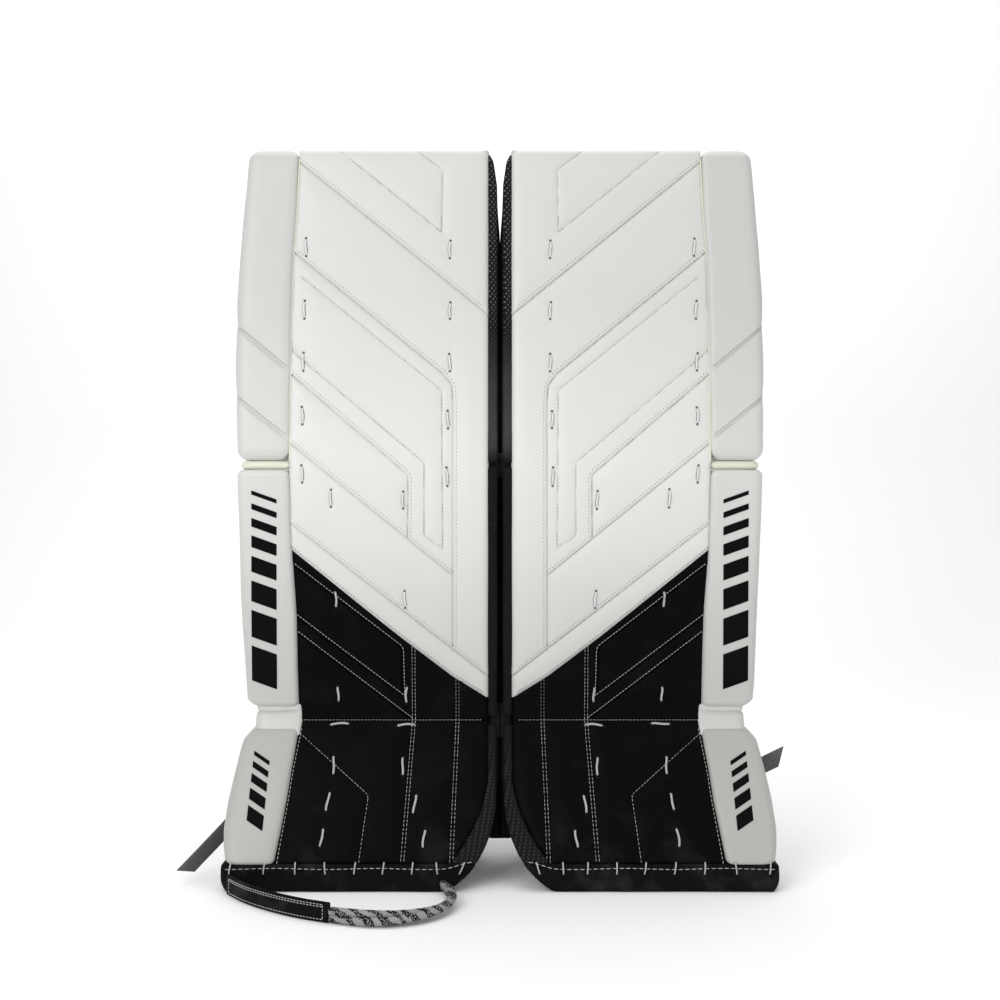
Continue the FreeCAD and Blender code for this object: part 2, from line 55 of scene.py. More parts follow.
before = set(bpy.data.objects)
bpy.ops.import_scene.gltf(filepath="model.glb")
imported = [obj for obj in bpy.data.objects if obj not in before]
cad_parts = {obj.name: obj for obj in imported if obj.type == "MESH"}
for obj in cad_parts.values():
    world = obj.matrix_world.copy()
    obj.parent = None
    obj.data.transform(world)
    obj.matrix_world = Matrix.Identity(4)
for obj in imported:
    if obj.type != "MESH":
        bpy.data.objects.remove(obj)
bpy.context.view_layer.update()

# ---------------------------------------------------------------- measures taken from the frame
SKIN = 0.0025
FACE_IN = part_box("right_thigh_face")[1]
PAIR_X = (FACE_IN.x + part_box("left_thigh_face")[0].x) / 2
EDGE_U = PAIR_X - FACE_IN.x - 0.0018
TOP_Z = FACE_IN.z
KNEE_Z = (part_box("right_thigh_face")[0].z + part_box("right_shin_face")[1].z) / 2
ANKLE_Z = (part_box("right_shin_face")[0].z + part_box("right_boot_face")[1].z) / 2
BAND_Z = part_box("right_boot_face")[0].z
TOE_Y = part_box("right_toe_binding")[0].y + 0.001
BAND_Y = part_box("right_boot_face")[0].y
ANKLE_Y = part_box("right_shin_face")[1].y - SKIN
KNEE_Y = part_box("right_shin_face")[0].y
TOP_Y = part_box("right_thigh_face")[1].y - SKIN
ROLL_FRONT = 0.006
ROLL_BACK = 0.050
FLOOR_GAP = 0.0002
SIDES = {"right": -1.0, "left": 1.0}

# Heights of the profile of the front skin, softened where it bends
PROFILE_STEP = 0.001
PROFILE_Z = np.arange(-0.05, TOP_Z + 0.05, PROFILE_STEP)
PROFILE_RAW = np.interp(
    PROFILE_Z, [0.0, BAND_Z, ANKLE_Z, KNEE_Z, TOP_Z], [TOE_Y, BAND_Y, ANKLE_Y, KNEE_Y, TOP_Y]
)
SOFTEN = np.exp(-0.5 * (np.arange(-15, 16) / 5.0) ** 2)
PROFILE_Y = np.convolve(np.pad(PROFILE_RAW, 15, "edge"), SOFTEN / SOFTEN.sum(), "valid")
PROFILE_SLOPE = np.gradient(PROFILE_Y, PROFILE_STEP)

# ---------------------------------------------------------------- seams of the face, in pad space
SEAM_TOP = (0.2283, TOP_Z)
SEAM_LINE = [(0.2240, 0.164), (0.2262, 0.215), (0.2288, 0.287), (0.2335, 0.356), (0.2352, 0.440),
             (0.2355, 0.600), (0.2348, 0.670), (0.2332, 0.700), (0.2305, 0.745), SEAM_TOP]
COLOUR_LINE = [(0.2335, 0.3560), (0.1455, 0.2850), (0.1105, 0.2572), (0.0540, 0.2145), (EDGE_U, 0.1885)]
CREASES = [
    [(0.2305, 0.7980), (EDGE_U, 0.6190)],
    [(0.2335, 0.6920), (0.0640, 0.5530), (0.0540, 0.5400), (0.0525, 0.5200), (0.0525, 0.2420)],
    [(0.2355, 0.5530), (0.1025, 0.4390), (0.1030, 0.3690)],
    [(0.2352, 0.4750), (0.0530, 0.3270)],
    [(0.2340, 0.3850), (EDGE_U, 0.2130)],
]
TUCKS = [
    [(0.1870, TOP_Z), (0.0665, 0.7140)],
    [(0.0990, TOP_Z), (0.0655, 0.7860), (0.0665, 0.7140)],
    [(0.2240, 0.6620), (0.0655, 0.5335), (0.0640, 0.3560)],
    [(0.2352, 0.5790), (0.2190, 0.5650), (0.0848, 0.4520), (0.0850, 0.3710), (0.0640, 0.3560)],
]
DARK_SEAMS = [
    [(0.2312, 0.3380), (0.1105, 0.2455), (0.1090, 0.1910)],
    [(0.2290, 0.2815), (0.1090, 0.1910)],
    [(0.2275, 0.2625), (0.0990, 0.1650)],
    [(0.0985, 0.2480), (0.0980, ANKLE_Z), (0.1045, 0.0300)],
    [(0.0492, 0.2110), (0.0492, ANKLE_Z), (0.0530, 0.0290)],
    [(0.2240, ANKLE_Z + 0.001), (EDGE_U, ANKLE_Z + 0.001)],
    [(0.2235, 0.1520), (0.1425, 0.0915), (0.1487, 0.0290)],
]
PAIRED_SEAMS = (3, 4)
PAIR_GAP = 0.0033
ROLL_CREASES = [
    [(0.2980, 0.6060), (0.2355, 0.5545)],
    [(0.2980, 0.5265), (0.2352, 0.4775)],
]

# Half width of a stitch, and the distance of a row of stitches from its seam
STITCH = 0.00042
STRAP_STITCH = 0.00045
BESIDE_SEAM = 0.0036

# ---------------------------------------------------------------- lace stitches, in pad space
LACE_LENGTH = 0.0175
LACE_WIDTH = 0.0022
LACE_THICKNESS = 0.0014
WHITE_LACES = [(0.2195, 0.697), (0.2205, 0.625), (0.2210, 0.566), (0.2208, 0.505),
               (0.0568, 0.694), (0.0565, 0.624), (0.0565, 0.565), (0.0585, 0.501),
               (0.2205, 0.440), (0.0590, 0.437), (0.1888, 0.413), (0.1084, 0.411), (0.1063, 0.300)]
DARK_LACES = [(0.1834, 0.300), (0.1808, 0.194), (0.1049, 0.193)]
BOOT_LACES = [(0.1825, 0.120), (0.1066, 0.119), (0.1855, 0.085), (0.0918, 0.083), (0.1890, 0.052),
              (0.0808, 0.051)]
FLAT_LACES = [(0.1792, ANKLE_Z - 0.0035), (0.1041, ANKLE_Z - 0.0045)]
LACE_LEAN = {0.0918: 0.10, 0.0808: 0.10, 0.1855: 0.14, 0.1890: 0.12}

# ---------------------------------------------------------------- the rounded inner toe corner
FACE_CORNER = [(EDGE_U, 0.104), (0.0155, 0.090), (0.0195, 0.076), (0.0270, 0.062), (0.0365, 0.048),
               (0.0455, 0.037), (0.0520, BAND_Z)]


# ================================================================= pad space and mesh helpers
def front_y(z):
    """Depth of the softened front skin at each height."""
    return np.interp(z, PROFILE_Z, PROFILE_Y)


def skin_points(uz, lift):
    """(u, y, z) rows for points of the skin, raised off it by lift."""
    uz = np.asarray(uz, float)
    slope = np.interp(uz[:, 1], PROFILE_Z, PROFILE_SLOPE)
    size = np.sqrt(1 + slope ** 2)
    y = front_y(uz[:, 1]) - lift / size
    z = uz[:, 1] + lift * slope / size
    return np.column_stack([uz[:, 0], y, z])


def to_world(uyz, side):
    """World points from (u, y, z) rows for one pad."""
    out = np.array(uyz, float)
    out[:, 0] = PAIR_X + SIDES[side] * out[:, 0]
    return out


def resample(line, step):
    """Evenly spaced points along a polyline."""
    line = np.asarray(line, float)
    gaps = np.linalg.norm(np.diff(line, axis=0), axis=1)
    at = np.concatenate([[0], np.cumsum(gaps)])
    count = max(2, int(round(at[-1] / step)) + 1)
    want = np.linspace(0, at[-1], count)
    return np.column_stack([np.interp(want, at, line[:, k]) for k in range(line.shape[1])])


def to_segment(points, start, end):
    """Distance from each point to a segment."""
    start = np.asarray(start, float)
    run = np.asarray(end, float) - start
    t = np.clip(((points - start) @ run) / max(run @ run, 1e-12), 0, 1)
    return np.linalg.norm(points - (start + t[:, None] * run), axis=1)


def line_distance(points, line):
    """Distance from each point to a polyline."""
    best = np.full(len(points), 1e9)
    for start, end in zip(line, line[1:]):
        best = np.minimum(best, to_segment(points, start, end))
    return best


def nearest(points, lines):
    """Distance from each point to the nearest of several polylines."""
    best = np.full(len(points), 1e9)
    for line in lines:
        best = np.minimum(best, line_distance(points, line))
    return best


def above_nearest(points, lines):
    """True for points on the upper side of the nearest of several polylines, which all run inwards."""
    best = np.full(len(points), 1e9)
    upper = np.zeros(len(points), bool)
    for line in lines:
        for start, end in zip(line, line[1:]):
            gap = to_segment(points, start, end)
            run = np.subtract(end, start)
            cross = run[0] * (points[:, 1] - start[1]) - run[1] * (points[:, 0] - start[0])
            closer = gap < best
            best = np.where(closer, gap, best)
            upper = np.where(closer, cross < 0, upper)
    return upper


def inside(points, outline):
    """True for points inside a closed outline."""
    points = np.asarray(points, float)
    result = np.zeros(len(points), bool)
    for (x0, y0), (x1, y1) in zip(outline, list(outline[1:]) + [outline[0]]):
        crosses = (y0 > points[:, 1]) != (y1 > points[:, 1])
        with np.errstate(divide="ignore", invalid="ignore"):
            at = (x1 - x0) * (points[:, 1] - y0) / (y1 - y0) + x0
        result ^= crosses & (points[:, 0] < at)
    return result


def offset_rows(line, step, distances):
    """Rows of points beside a polyline, at the given distances on both sides."""
    centre = resample(line, step)
    along = np.gradient(centre, axis=0)
    along /= np.linalg.norm(along, axis=1)[:, None]
    across = np.column_stack([-along[:, 1], along[:, 0]])
    return np.vstack([centre + across * d * sign for d in distances for sign in (-1, 1)])


def quilt(outline, seams, step, rolled=()):
    """Triangles that fill an outline, with extra rows of points along each seam."""
    ring = resample(list(outline) + [outline[0]], step)[:-1]
    points = [tuple(p) for p in ring]
    edges = []
    rows = []
    for seam in seams:
        centre = resample(seam, step * 0.7)
        base = len(points)
        points += [tuple(p) for p in centre]
        edges += [(base + i, base + i + 1) for i in range(len(centre) - 1)]
        rows.append(offset_rows(seam, step * 0.7, (0.0005, 0.0012, 0.0026)))
    low = ring.min(0)
    high = ring.max(0)
    us = np.arange(low[0], high[0], step)
    zs = np.arange(low[1], high[1], step * 0.866)
    grid = np.array([(u + (k % 2) * step / 2, z) for k, z in enumerate(zs) for u in us])
    closed = list(ring) + [ring[0]]
    keep = inside(grid, ring) & (line_distance(grid, closed) > step * 0.45)
    for line in rolled:
        rows.append(offset_rows(line, step * 0.6, (0.0004, 0.0013, 0.0028, 0.0048)))
        keep &= line_distance(grid, line) > 0.0062
    if seams:
        keep &= nearest(grid, seams) > 0.0040
        beside = np.vstack(rows)
        good = inside(beside, ring) & (line_distance(beside, closed) > 0.0006)
        points += [tuple(p) for p in beside[good]]
    points += [tuple(p) for p in grid[keep]]
    made = geometry.delaunay_2d_cdt(
        [Vector(p) for p in points], edges, [list(range(len(ring)))], 1, 1e-6
    )
    return np.array([tuple(v) for v in made[0]]), [list(f) for f in made[2]]


def new_object(name, points, faces, finish):
    """Mesh object from world points and faces."""
    mesh = bpy.data.meshes.new(name)
    mesh.from_pydata([tuple(map(float, p)) for p in points], [], faces)
    mesh.validate()
    obj = bpy.data.objects.new(name, mesh)
    bpy.context.scene.collection.objects.link(obj)
    mesh.materials.append(finish)
    mesh.polygons.foreach_set("use_smooth", [True] * len(mesh.polygons))
    return obj


def face_outwards(obj):
    """Makes every face of a closed mesh point outwards."""
    work = bmesh.new()
    work.from_mesh(obj.data)
    bmesh.ops.recalc_face_normals(work, faces=work.faces)
    work.to_mesh(obj.data)
    work.free()


def bake_modifiers(obj):
    """Replaces an object's mesh by the result of its modifiers."""
    graph = bpy.context.evaluated_depsgraph_get()
    mesh = bpy.data.meshes.new_from_object(obj.evaluated_get(graph))
    obj.modifiers.clear()
    obj.data = mesh


def coordinates(obj):
    """Vertex coordinates as rows."""
    out = np.empty(len(obj.data.vertices) * 3)
    obj.data.vertices.foreach_get("co", out)
    return out.reshape(-1, 3)


def set_coordinates(obj, points):
    """Writes vertex coordinates from rows."""
    obj.data.vertices.foreach_set("co", np.asarray(points, float).ravel())
    obj.data.update()


def normals(obj):
    """Vertex normals as rows."""
    out = np.empty(len(obj.data.vertices) * 3)
    obj.data.vertices.foreach_get("normal", out)
    return out.reshape(-1, 3)


def wobble(points, scale, seed):
    """Smooth random value from -1 to 1 at each (u, z) point."""
    return np.array([noise.noise(Vector((p[0] * scale + seed, p[1] * scale, seed * 0.37))) for p in points])


def finish_piece(obj, body, nodes=()):
    """Rides a piece on its body when the body is a name, keeps it above the floor and hides the CAD nodes it
    stands for.
    """
    points = coordinates(obj)
    points[:, 2] = np.maximum(points[:, 2], FLOOR_GAP)
    set_coordinates(obj, points)
    if nodes:
        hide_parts(*nodes)
    if isinstance(body, str):
        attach(obj, body)
    else:
        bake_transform(obj)


def knee_blend(side):
    """Bodies and heights at the knee break, as one tuple; finish_piece attaches a piece given it to no body.
    """
    return (side + "_thigh", side + "_shin", KNEE_Z + 0.012, KNEE_Z - 0.012)


def ankle_blend(side):
    """Bodies and heights at the ankle break, as one tuple; finish_piece attaches a piece given it to no body.
    """
    return (side + "_shin", side + "_boot", ANKLE_Z + 0.010, ANKLE_Z - 0.010)


def wall_faces(rings, sides):
    """Faces between equal rings of points."""
    faces = []
    for i in range(rings - 1):
        for k in range(sides):
            m = (k + 1) % sides
            faces.append([i * sides + k, i * sides + m, (i + 1) * sides + m, (i + 1) * sides + k])
    return faces


def ring_faces(rings, sides):
    """Faces of a skin over equal rings of points, with both ends closed."""
    last = (rings - 1) * sides
    return wall_faces(rings, sides) + [list(range(sides))[::-1], list(range(last, last + sides))]


def tube(path, radius, sides=8, flatten=1.0):
    """Points and faces of a round tube along (x, y, z) rows; flatten squeezes its second axis."""
    path = np.asarray(path, float)
    along = np.gradient(path, axis=0)
    along /= np.linalg.norm(along, axis=1)[:, None]
    up = np.array([0.0, 0.0, 1.0])
    if abs(along[0] @ up) > 0.9:
        up = np.array([0.0, 1.0, 0.0])
    points = []
    for centre, direction in zip(path, along):
        across = np.cross(direction, up)
        across /= np.linalg.norm(across)
        up = np.cross(across, direction)
        for k in range(sides):
            angle = 2 * math.pi * k / sides
            points.append(centre + radius * (math.cos(angle) * up + flatten * math.sin(angle) * across))
    return np.array(points), ring_faces(len(path), sides)


def joined(parts):
    """One list of points and faces from several."""
    points = []
    faces = []
    base = 0
    for part_points, part_faces in parts:
        points.append(part_points)
        faces += [[i + base for i in face] for face in part_faces]
        base += len(part_points)
    return np.vstack(points), faces


def stitch_rod(start, end, up, width, height, sides=6):
    """One stitch between two points: a short rod, thick in the middle and sunk at both ends."""
    run = end - start
    run_length = np.linalg.norm(run)
    along = run / run_length
    across = np.cross(along, up)
    across /= np.linalg.norm(across)
    over = np.cross(across, along)
    points = []
    steps = ((0.0, 0.35, -0.55), (0.14, 0.85, 0.15), (0.5, 1.0, 0.45), (0.86, 0.85, 0.15), (1.0, 0.35, -0.55))
    for t, size, rise in steps:
        centre = start + run * t + over * height * rise
        for k in range(sides):
            angle = 2 * math.pi * k / sides
            beside = centre + across * width * size * math.cos(angle)
            points.append(beside + over * height * size * math.sin(angle))
    return np.array(points), ring_faces(len(steps), sides)


# ================================================================= shader expressions
class Value:
    """A shader socket for use in Python expressions; each operation adds one Math node."""

    def __init__(self, finish, socket):
        self.finish = finish
        self.socket = socket

    def math(self, operation, first, second=0.0):
        return self.finish.node("ShaderNodeMath", {"operation": operation}, {0: first, 1: second})

    def __add__(self, other):
        return self.math("ADD", self, other)

    def __radd__(self, other):
        return self.math("ADD", other, self)

    def __sub__(self, other):
        return self.math("SUBTRACT", self, other)

    def __rsub__(self, other):
        return self.math("SUBTRACT", other, self)

    def __mul__(self, other):
        return self.math("MULTIPLY", self, other)

    def __rmul__(self, other):
        return self.math("MULTIPLY", other, self)

    def sine(self):
        return self.math("SINE", self)

    def size(self):
        return self.math("ABSOLUTE", self)

    def clamped(self):
        return self.math("MINIMUM", self.math("MAXIMUM", self, 0.0), 1.0)


class Finish:
    """A material under construction; node() adds one node and returns one of its outputs."""

    def __init__(self, name):
        self.material = bpy.data.materials.new(name)
        self.material.use_nodes = True
        self.tree = self.material.node_tree
        self.shader = self.tree.nodes["Principled BSDF"]
        self.place = self.node("ShaderNodeTexCoord", output="Object")

    def put(self, socket, value):
        if isinstance(value, Value):
            self.tree.links.new(value.socket, socket)
        elif socket.type == "RGBA":
            socket.default_value = tuple(value)[:3] + (1.0,)
        else:
            socket.default_value = value

    def node(self, kind, settings=None, sockets=None, output=0):
        added = self.tree.nodes.new(kind)
        for key, value in (settings or {}).items():
            setattr(added, key, value)
        for key, value in (sockets or {}).items():
            self.put(added.inputs[key], value)
        return Value(self, added.outputs[output])

    def noise(self, scale, detail=3.0, roughness=0.5, place=None):
        sockets = {"Vector": place or self.place, "Scale": scale, "Detail": detail, "Roughness": roughness}
        return self.node("ShaderNodeTexNoise", {}, sockets)

    def cells(self, scale, feature="F1", randomness=1.0):
        sockets = {"Vector": self.place, "Scale": scale, "Randomness": randomness}
        return self.node("ShaderNodeTexVoronoi", {"feature": feature}, sockets)

    def axes(self):
        split = self.tree.nodes.new("ShaderNodeSeparateXYZ")
        self.put(split.inputs[0], self.place)
        return [Value(self, split.outputs[k]) for k in range(3)]

    def attribute(self, name):
        return self.node("ShaderNodeAttribute", {"attribute_name": name}, {}, output="Fac")

    def mix(self, factor, first, second):
        sockets = {0: factor, 6: first, 7: second}
        return self.node("ShaderNodeMix", {"data_type": "RGBA"}, sockets, output=2)

    def bump(self, height, strength, distance):
        sockets = {"Height": height, "Strength": strength, "Distance": distance}
        self.put(self.shader.inputs["Normal"], self.node("ShaderNodeBump", {}, sockets))

    def done(self, colour, roughness, **constants):
        self.put(self.shader.inputs["Base Color"], colour)
        self.put(self.shader.inputs["Roughness"], roughness)
        for name, value in constants.items():
            self.shader.inputs[name.replace("_", " ")].default_value = value
        return self.material


def shade(grey, tint=(1.0, 1.0, 1.0)):
    """Opaque colour from a grey value and a tint."""
    return (grey * tint[0], grey * tint[1], grey * tint[2], 1.0)


def tone(colour, factor):
    """Opaque colour, darker or lighter by a factor."""
    return (colour[0] * factor, colour[1] * factor, colour[2] * factor, 1.0)


# Heights of the painted shade low down and of the painted light round the knee on the white leather.
LOW_SHADE_Z = 0.36
KNEE_LIGHT_Z = 0.44


def smooth_leather(name, colour, wear=0.05):
    """Smooth coated leather with faint pores: greyer low down and at the top as painted shade, paler near the
    knee as painted light.
    """
    f = Finish(name)
    cloud = f.noise(9.0, 4.0)
    fine = f.noise(420.0, 4.0, 0.6)
    pores = f.cells(1100.0)
    scuff = (f.noise(38.0, 6.0, 0.7) - 0.62).clamped() * 2.0
    height = f.axes()[2]
    # Painted shade greys the leather low down and in a band along the rounded top edge; painted light makes
    # it paler round the knee.
    low = ((LOW_SHADE_Z - height) * 5.5).clamped() * 0.9
    top = ((height - TOP_Z + 0.020) * 50.0).clamped() * 0.5
    grey = (low + top).clamped()
    pale = (1.0 - (height - KNEE_LIGHT_Z).size() * 5.0).clamped() * 0.8
    leather = f.mix((cloud * 0.9 + scuff * 0.3).clamped(), colour, tone(colour, 1.0 - wear))
    f.bump(pores * 0.35 + fine * 0.65, 0.10, 0.0004)
    return f.done(
        f.mix(grey, f.mix(pale, leather, tone(colour, 1.16)), tone(colour, 0.88)),
        0.36 + cloud * 0.10 + scuff * 0.2,
        Specular_IOR_Level=0.38,
    )


def grained_leather(name, colour, grain=620.0, gloss=0.40):
    """Dark leather with a pebbled grain, shinier on top of the pebbles, with painted sheen in lighter
    patches, most of them near the bottom.
    """
    f = Finish(name)
    pebble = f.cells(grain, "SMOOTH_F1")
    folds = f.noise(70.0, 5.0, 0.6)
    dust = (f.noise(260.0, 5.0, 0.7) - 0.60).clamped() * 1.6
    # Painted sheen: lighter patches of the leather, strongest below 0.080 m.
    low = ((0.080 - f.axes()[2]) * 30.0).clamped()
    sheen_and_grey_band = ((f.noise(24.0, 5.0, 0.6) - 0.50) * 5.0).clamped() * (low * 0.7 + 0.3)
    f.bump((1.0 - pebble) * 0.6 + folds * 0.5, 0.34, 0.0007)
    return f.done(
        f.mix(sheen_and_grey_band, f.mix(dust.clamped(), colour, tone(colour, 1.8)), tone(colour, 4.5)),
        gloss + folds * 0.14 + pebble * 0.08,
        Specular_IOR_Level=0.04,
    )


def dotted_mesh(name, pitch=0.0027):
    """Black net with a light yarn that shows through as rows of dots."""
    f = Finish(name)
    x, y, z = f.axes()
    k = 2 * math.pi / pitch
    weave = ((y + x) * (k * 0.5)).sine() * (z * (k * 0.42)).sine()
    zone = (((z - 0.575) * 14.0).clamped() + ((0.155 - z) * 22.0).clamped() * 0.28).clamped()
    # A lighter grey band of the net between 0.455 m and 0.600 m high.
    sheen_and_grey_band = (((z - 0.455) * 60.0).clamped() * ((0.600 - z) * 16.0).clamped()) * 0.5
    dots = (((weave - 0.28) * 3.0).clamped() * zone + sheen_and_grey_band * 0.8).clamped()
    fade = f.noise(22.0, 3.0)
    f.bump(weave * 0.5 + f.noise(900.0) * 0.3, 0.6, 0.0008)
    return f.done(
        f.mix((dots * (0.35 + fade)).clamped(), shade(0.006), shade(0.10, (1.0, 1.0, 1.03))),
        0.72 + fade * 0.12,
        Specular_IOR_Level=0.12,
    )


def woven_nylon(name, colour, pitch=0.0013):
    """Matte nylon cloth with a plain weave."""
    f = Finish(name)
    x, y, z = f.axes()
    k = 2 * math.pi / pitch
    weave = ((x + y) * k).sine() * (z * k).sine()
    lint = f.noise(130.0, 4.0, 0.7)
    f.bump(weave * 0.5 + lint * 0.5, 0.45, 0.0005)
    return f.done(
        f.mix((weave * 0.35 + lint * 0.5).clamped(), colour, tone(colour, 2.2)),
        0.78 + lint * 0.12,
        Specular_IOR_Level=0.10,
        Sheen_Weight=0.25,
    )


def brushed_knit(name, colour):
    """Soft brushed lining with short fibres."""
    f = Finish(name)
    x, _, z = f.axes()
    rib = (x * (2 * math.pi / 0.0022)).sine() * (z * (2 * math.pi / 0.003)).sine()
    fluff = f.noise(700.0, 5.0, 0.8)
    wear = f.noise(12.0, 4.0)
    f.bump(rib * 0.4 + fluff * 0.6, 0.6, 0.0007)
    return f.done(
        f.mix((fluff * 0.6 + wear * 0.4).clamped(), tone(colour, 0.7), tone(colour, 1.7)),
        0.9,
        Specular_IOR_Level=0.15,
        Sheen_Weight=0.4,
    )


def ribbed_webbing(name, colour, rib=0.0022):
    """Flat woven strap: ribs across its length and a bound edge."""
    f = Finish(name)
    along = f.attribute("along")
    across = f.attribute("across")
    ribs = ((along + across.size() * 0.6) * (2 * math.pi / rib)).sine()
    yarn = (across * (2 * math.pi / 0.0016)).sine()
    fuzz = f.noise(500.0, 4.0, 0.7)
    f.bump(ribs * 0.5 + yarn * 0.3 + fuzz * 0.3, 0.7, 0.0006)
    return f.done(
        f.mix((ribs * 0.3 + yarn * 0.15 + fuzz * 0.6).clamped(), tone(colour, 0.55), tone(colour, 1.35)),
        0.70 + fuzz * 0.15,
        Specular_IOR_Level=0.12,
    )


def twisted_yarn(name, colour, pitch=0.0011, dark=0.62):
    """Thread or cord whose plies run round it at a slant."""
    f = Finish(name)
    x, y, z = f.axes()
    plies = ((x + y * 0.8 + z * 1.2) * (2 * math.pi / pitch)).sine()
    fuzz = f.noise(900.0, 3.0, 0.7)
    f.bump(plies * 0.6 + fuzz * 0.4, 0.6, 0.0004)
    return f.done(
        f.mix((plies * 0.35 + fuzz * 0.5).clamped(), tone(colour, dark), colour),
        0.75,
        Specular_IOR_Level=0.3,
    )


def speckled_knit(name, light, dark):
    """Tubular knit of light yarn crossed by slanting bands of dark speckles."""
    f = Finish(name)
    x, y, z = f.axes()
    drift = f.noise(60.0, 3.0)
    bands = ((x * 1.0 + y * 0.55 + z * 1.3) * (2 * math.pi / 0.017) + drift * 9.0).sine()
    loops = ((x + z) * (2 * math.pi / 0.0023)).sine() * ((y - z) * (2 * math.pi / 0.0021)).sine()
    speck = ((f.cells(620.0) - 0.30) * 6.0).clamped()
    share = (((bands + 0.30) * 2.5).clamped() * speck * 0.95 + speck * 0.14).clamped()
    f.bump(loops * 0.4 + speck * 0.6 + f.noise(1200.0, 2.0) * 0.4, 0.9, 0.0010)
    return f.done(f.mix(share, light, dark), 0.8, Specular_IOR_Level=0.15)


def moulded_plastic(name, colour):
    """Black moulded plastic with a fine spark texture and a few rubbed spots."""
    f = Finish(name)
    spark = f.noise(1500.0, 2.0)
    rub = (f.noise(60.0, 5.0, 0.7) - 0.58).clamped() * 2.0
    f.bump(spark, 0.25, 0.0002)
    return f.done(f.mix(rub.clamped(), colour, tone(colour, 2.5)), 0.48 - rub * 0.12 + spark * 0.1)


def ink_and_painted_shade(name, colour):
    """Flexible printed film on the leather; also the painted shade in the lace holes and under the laces."""
    f = Finish(name)
    cloud = f.noise(60.0, 4.0)
    f.bump(f.noise(600.0, 3.0), 0.12, 0.0003)
    return f.done(f.mix(cloud, colour, tone(colour, 1.4)), 0.60 + cloud * 0.1, Specular_IOR_Level=0.02)


def backdrop_finish(name, colour):
    """Plain pale studio paper."""
    f = Finish(name)
    fibre = f.noise(90.0, 4.0)
    f.bump(fibre, 0.03, 0.0005)
    return f.done(f.mix(fibre, colour, tone(colour, 0.99)), 0.92, Specular_IOR_Level=0.1)


FINISHES = {}


def finish_of(key):
    """A finish by name, made on first use from the sizes and colours in the panel."""
    if key not in FINISHES:
        look = bpy.context.scene.leg_pad_looks
        makers = {
            "white": lambda: smooth_leather("white_leather", tuple(look.white)),
            # Painted shade: the thigh and shin rolls use the white leather at 0.88 of its brightness.
            "white_roll": lambda: smooth_leather("white_leather_roll", tone(look.white, 0.88)),
            # Painted shade: the boot roll uses a darker copy of the white leather.
            "white_low": lambda: smooth_leather("white_leather_low", tuple(look.white_low), 0.08),
            "cream": lambda: smooth_leather("cream_strip", tuple(look.cream)),
            "black": lambda: grained_leather("black_leather", tuple(look.black)),
            "binding": lambda: grained_leather("binding_leather", tone(look.black, 2.6), 480.0, 0.46),
            "mesh": lambda: dotted_mesh("side_mesh"),
            "nylon": lambda: woven_nylon("wrap_nylon", tuple(look.cloth)),
            "knit": lambda: brushed_knit("brushed_knit", tuple(look.cloth)),
            "webbing": lambda: ribbed_webbing("grey_webbing", tuple(look.webbing)),
            "lace": lambda: twisted_yarn("flat_lace", tuple(look.lace)),
            "white_lace": lambda: twisted_yarn("white_lace", shade(0.86), 0.0011, 0.9),
            "tone_thread": lambda: twisted_yarn("tone_thread", tuple(look.tone_thread), 0.0008, 0.85),
            "white_thread": lambda: twisted_yarn("white_thread", tuple(look.lace), 0.0008, 0.7),
            "cord_knit": lambda: speckled_knit("toe_cord_knit", tuple(look.yarn), shade(0.012)),
            "yarn_light": lambda: twisted_yarn("light_yarn", tuple(look.yarn), 0.0014, 0.72),
            # Painted shade for the lace holes and the strips under the laces, on black and on white leather.
            "hole": lambda: ink_and_painted_shade("lace_hole", shade(0.01)),
            "white_hole": lambda: ink_and_painted_shade("white_lace_hole", shade(0.12)),
            "ink": lambda: ink_and_painted_shade("graphic_print", shade(0.004)),
            "plastic": lambda: moulded_plastic("buckle_plastic", shade(0.016)),
            "paper": lambda: backdrop_finish("studio_paper", tuple(look.paper)),
        }
        FINISHES[key] = makers[key]()
    return FINISHES[key]


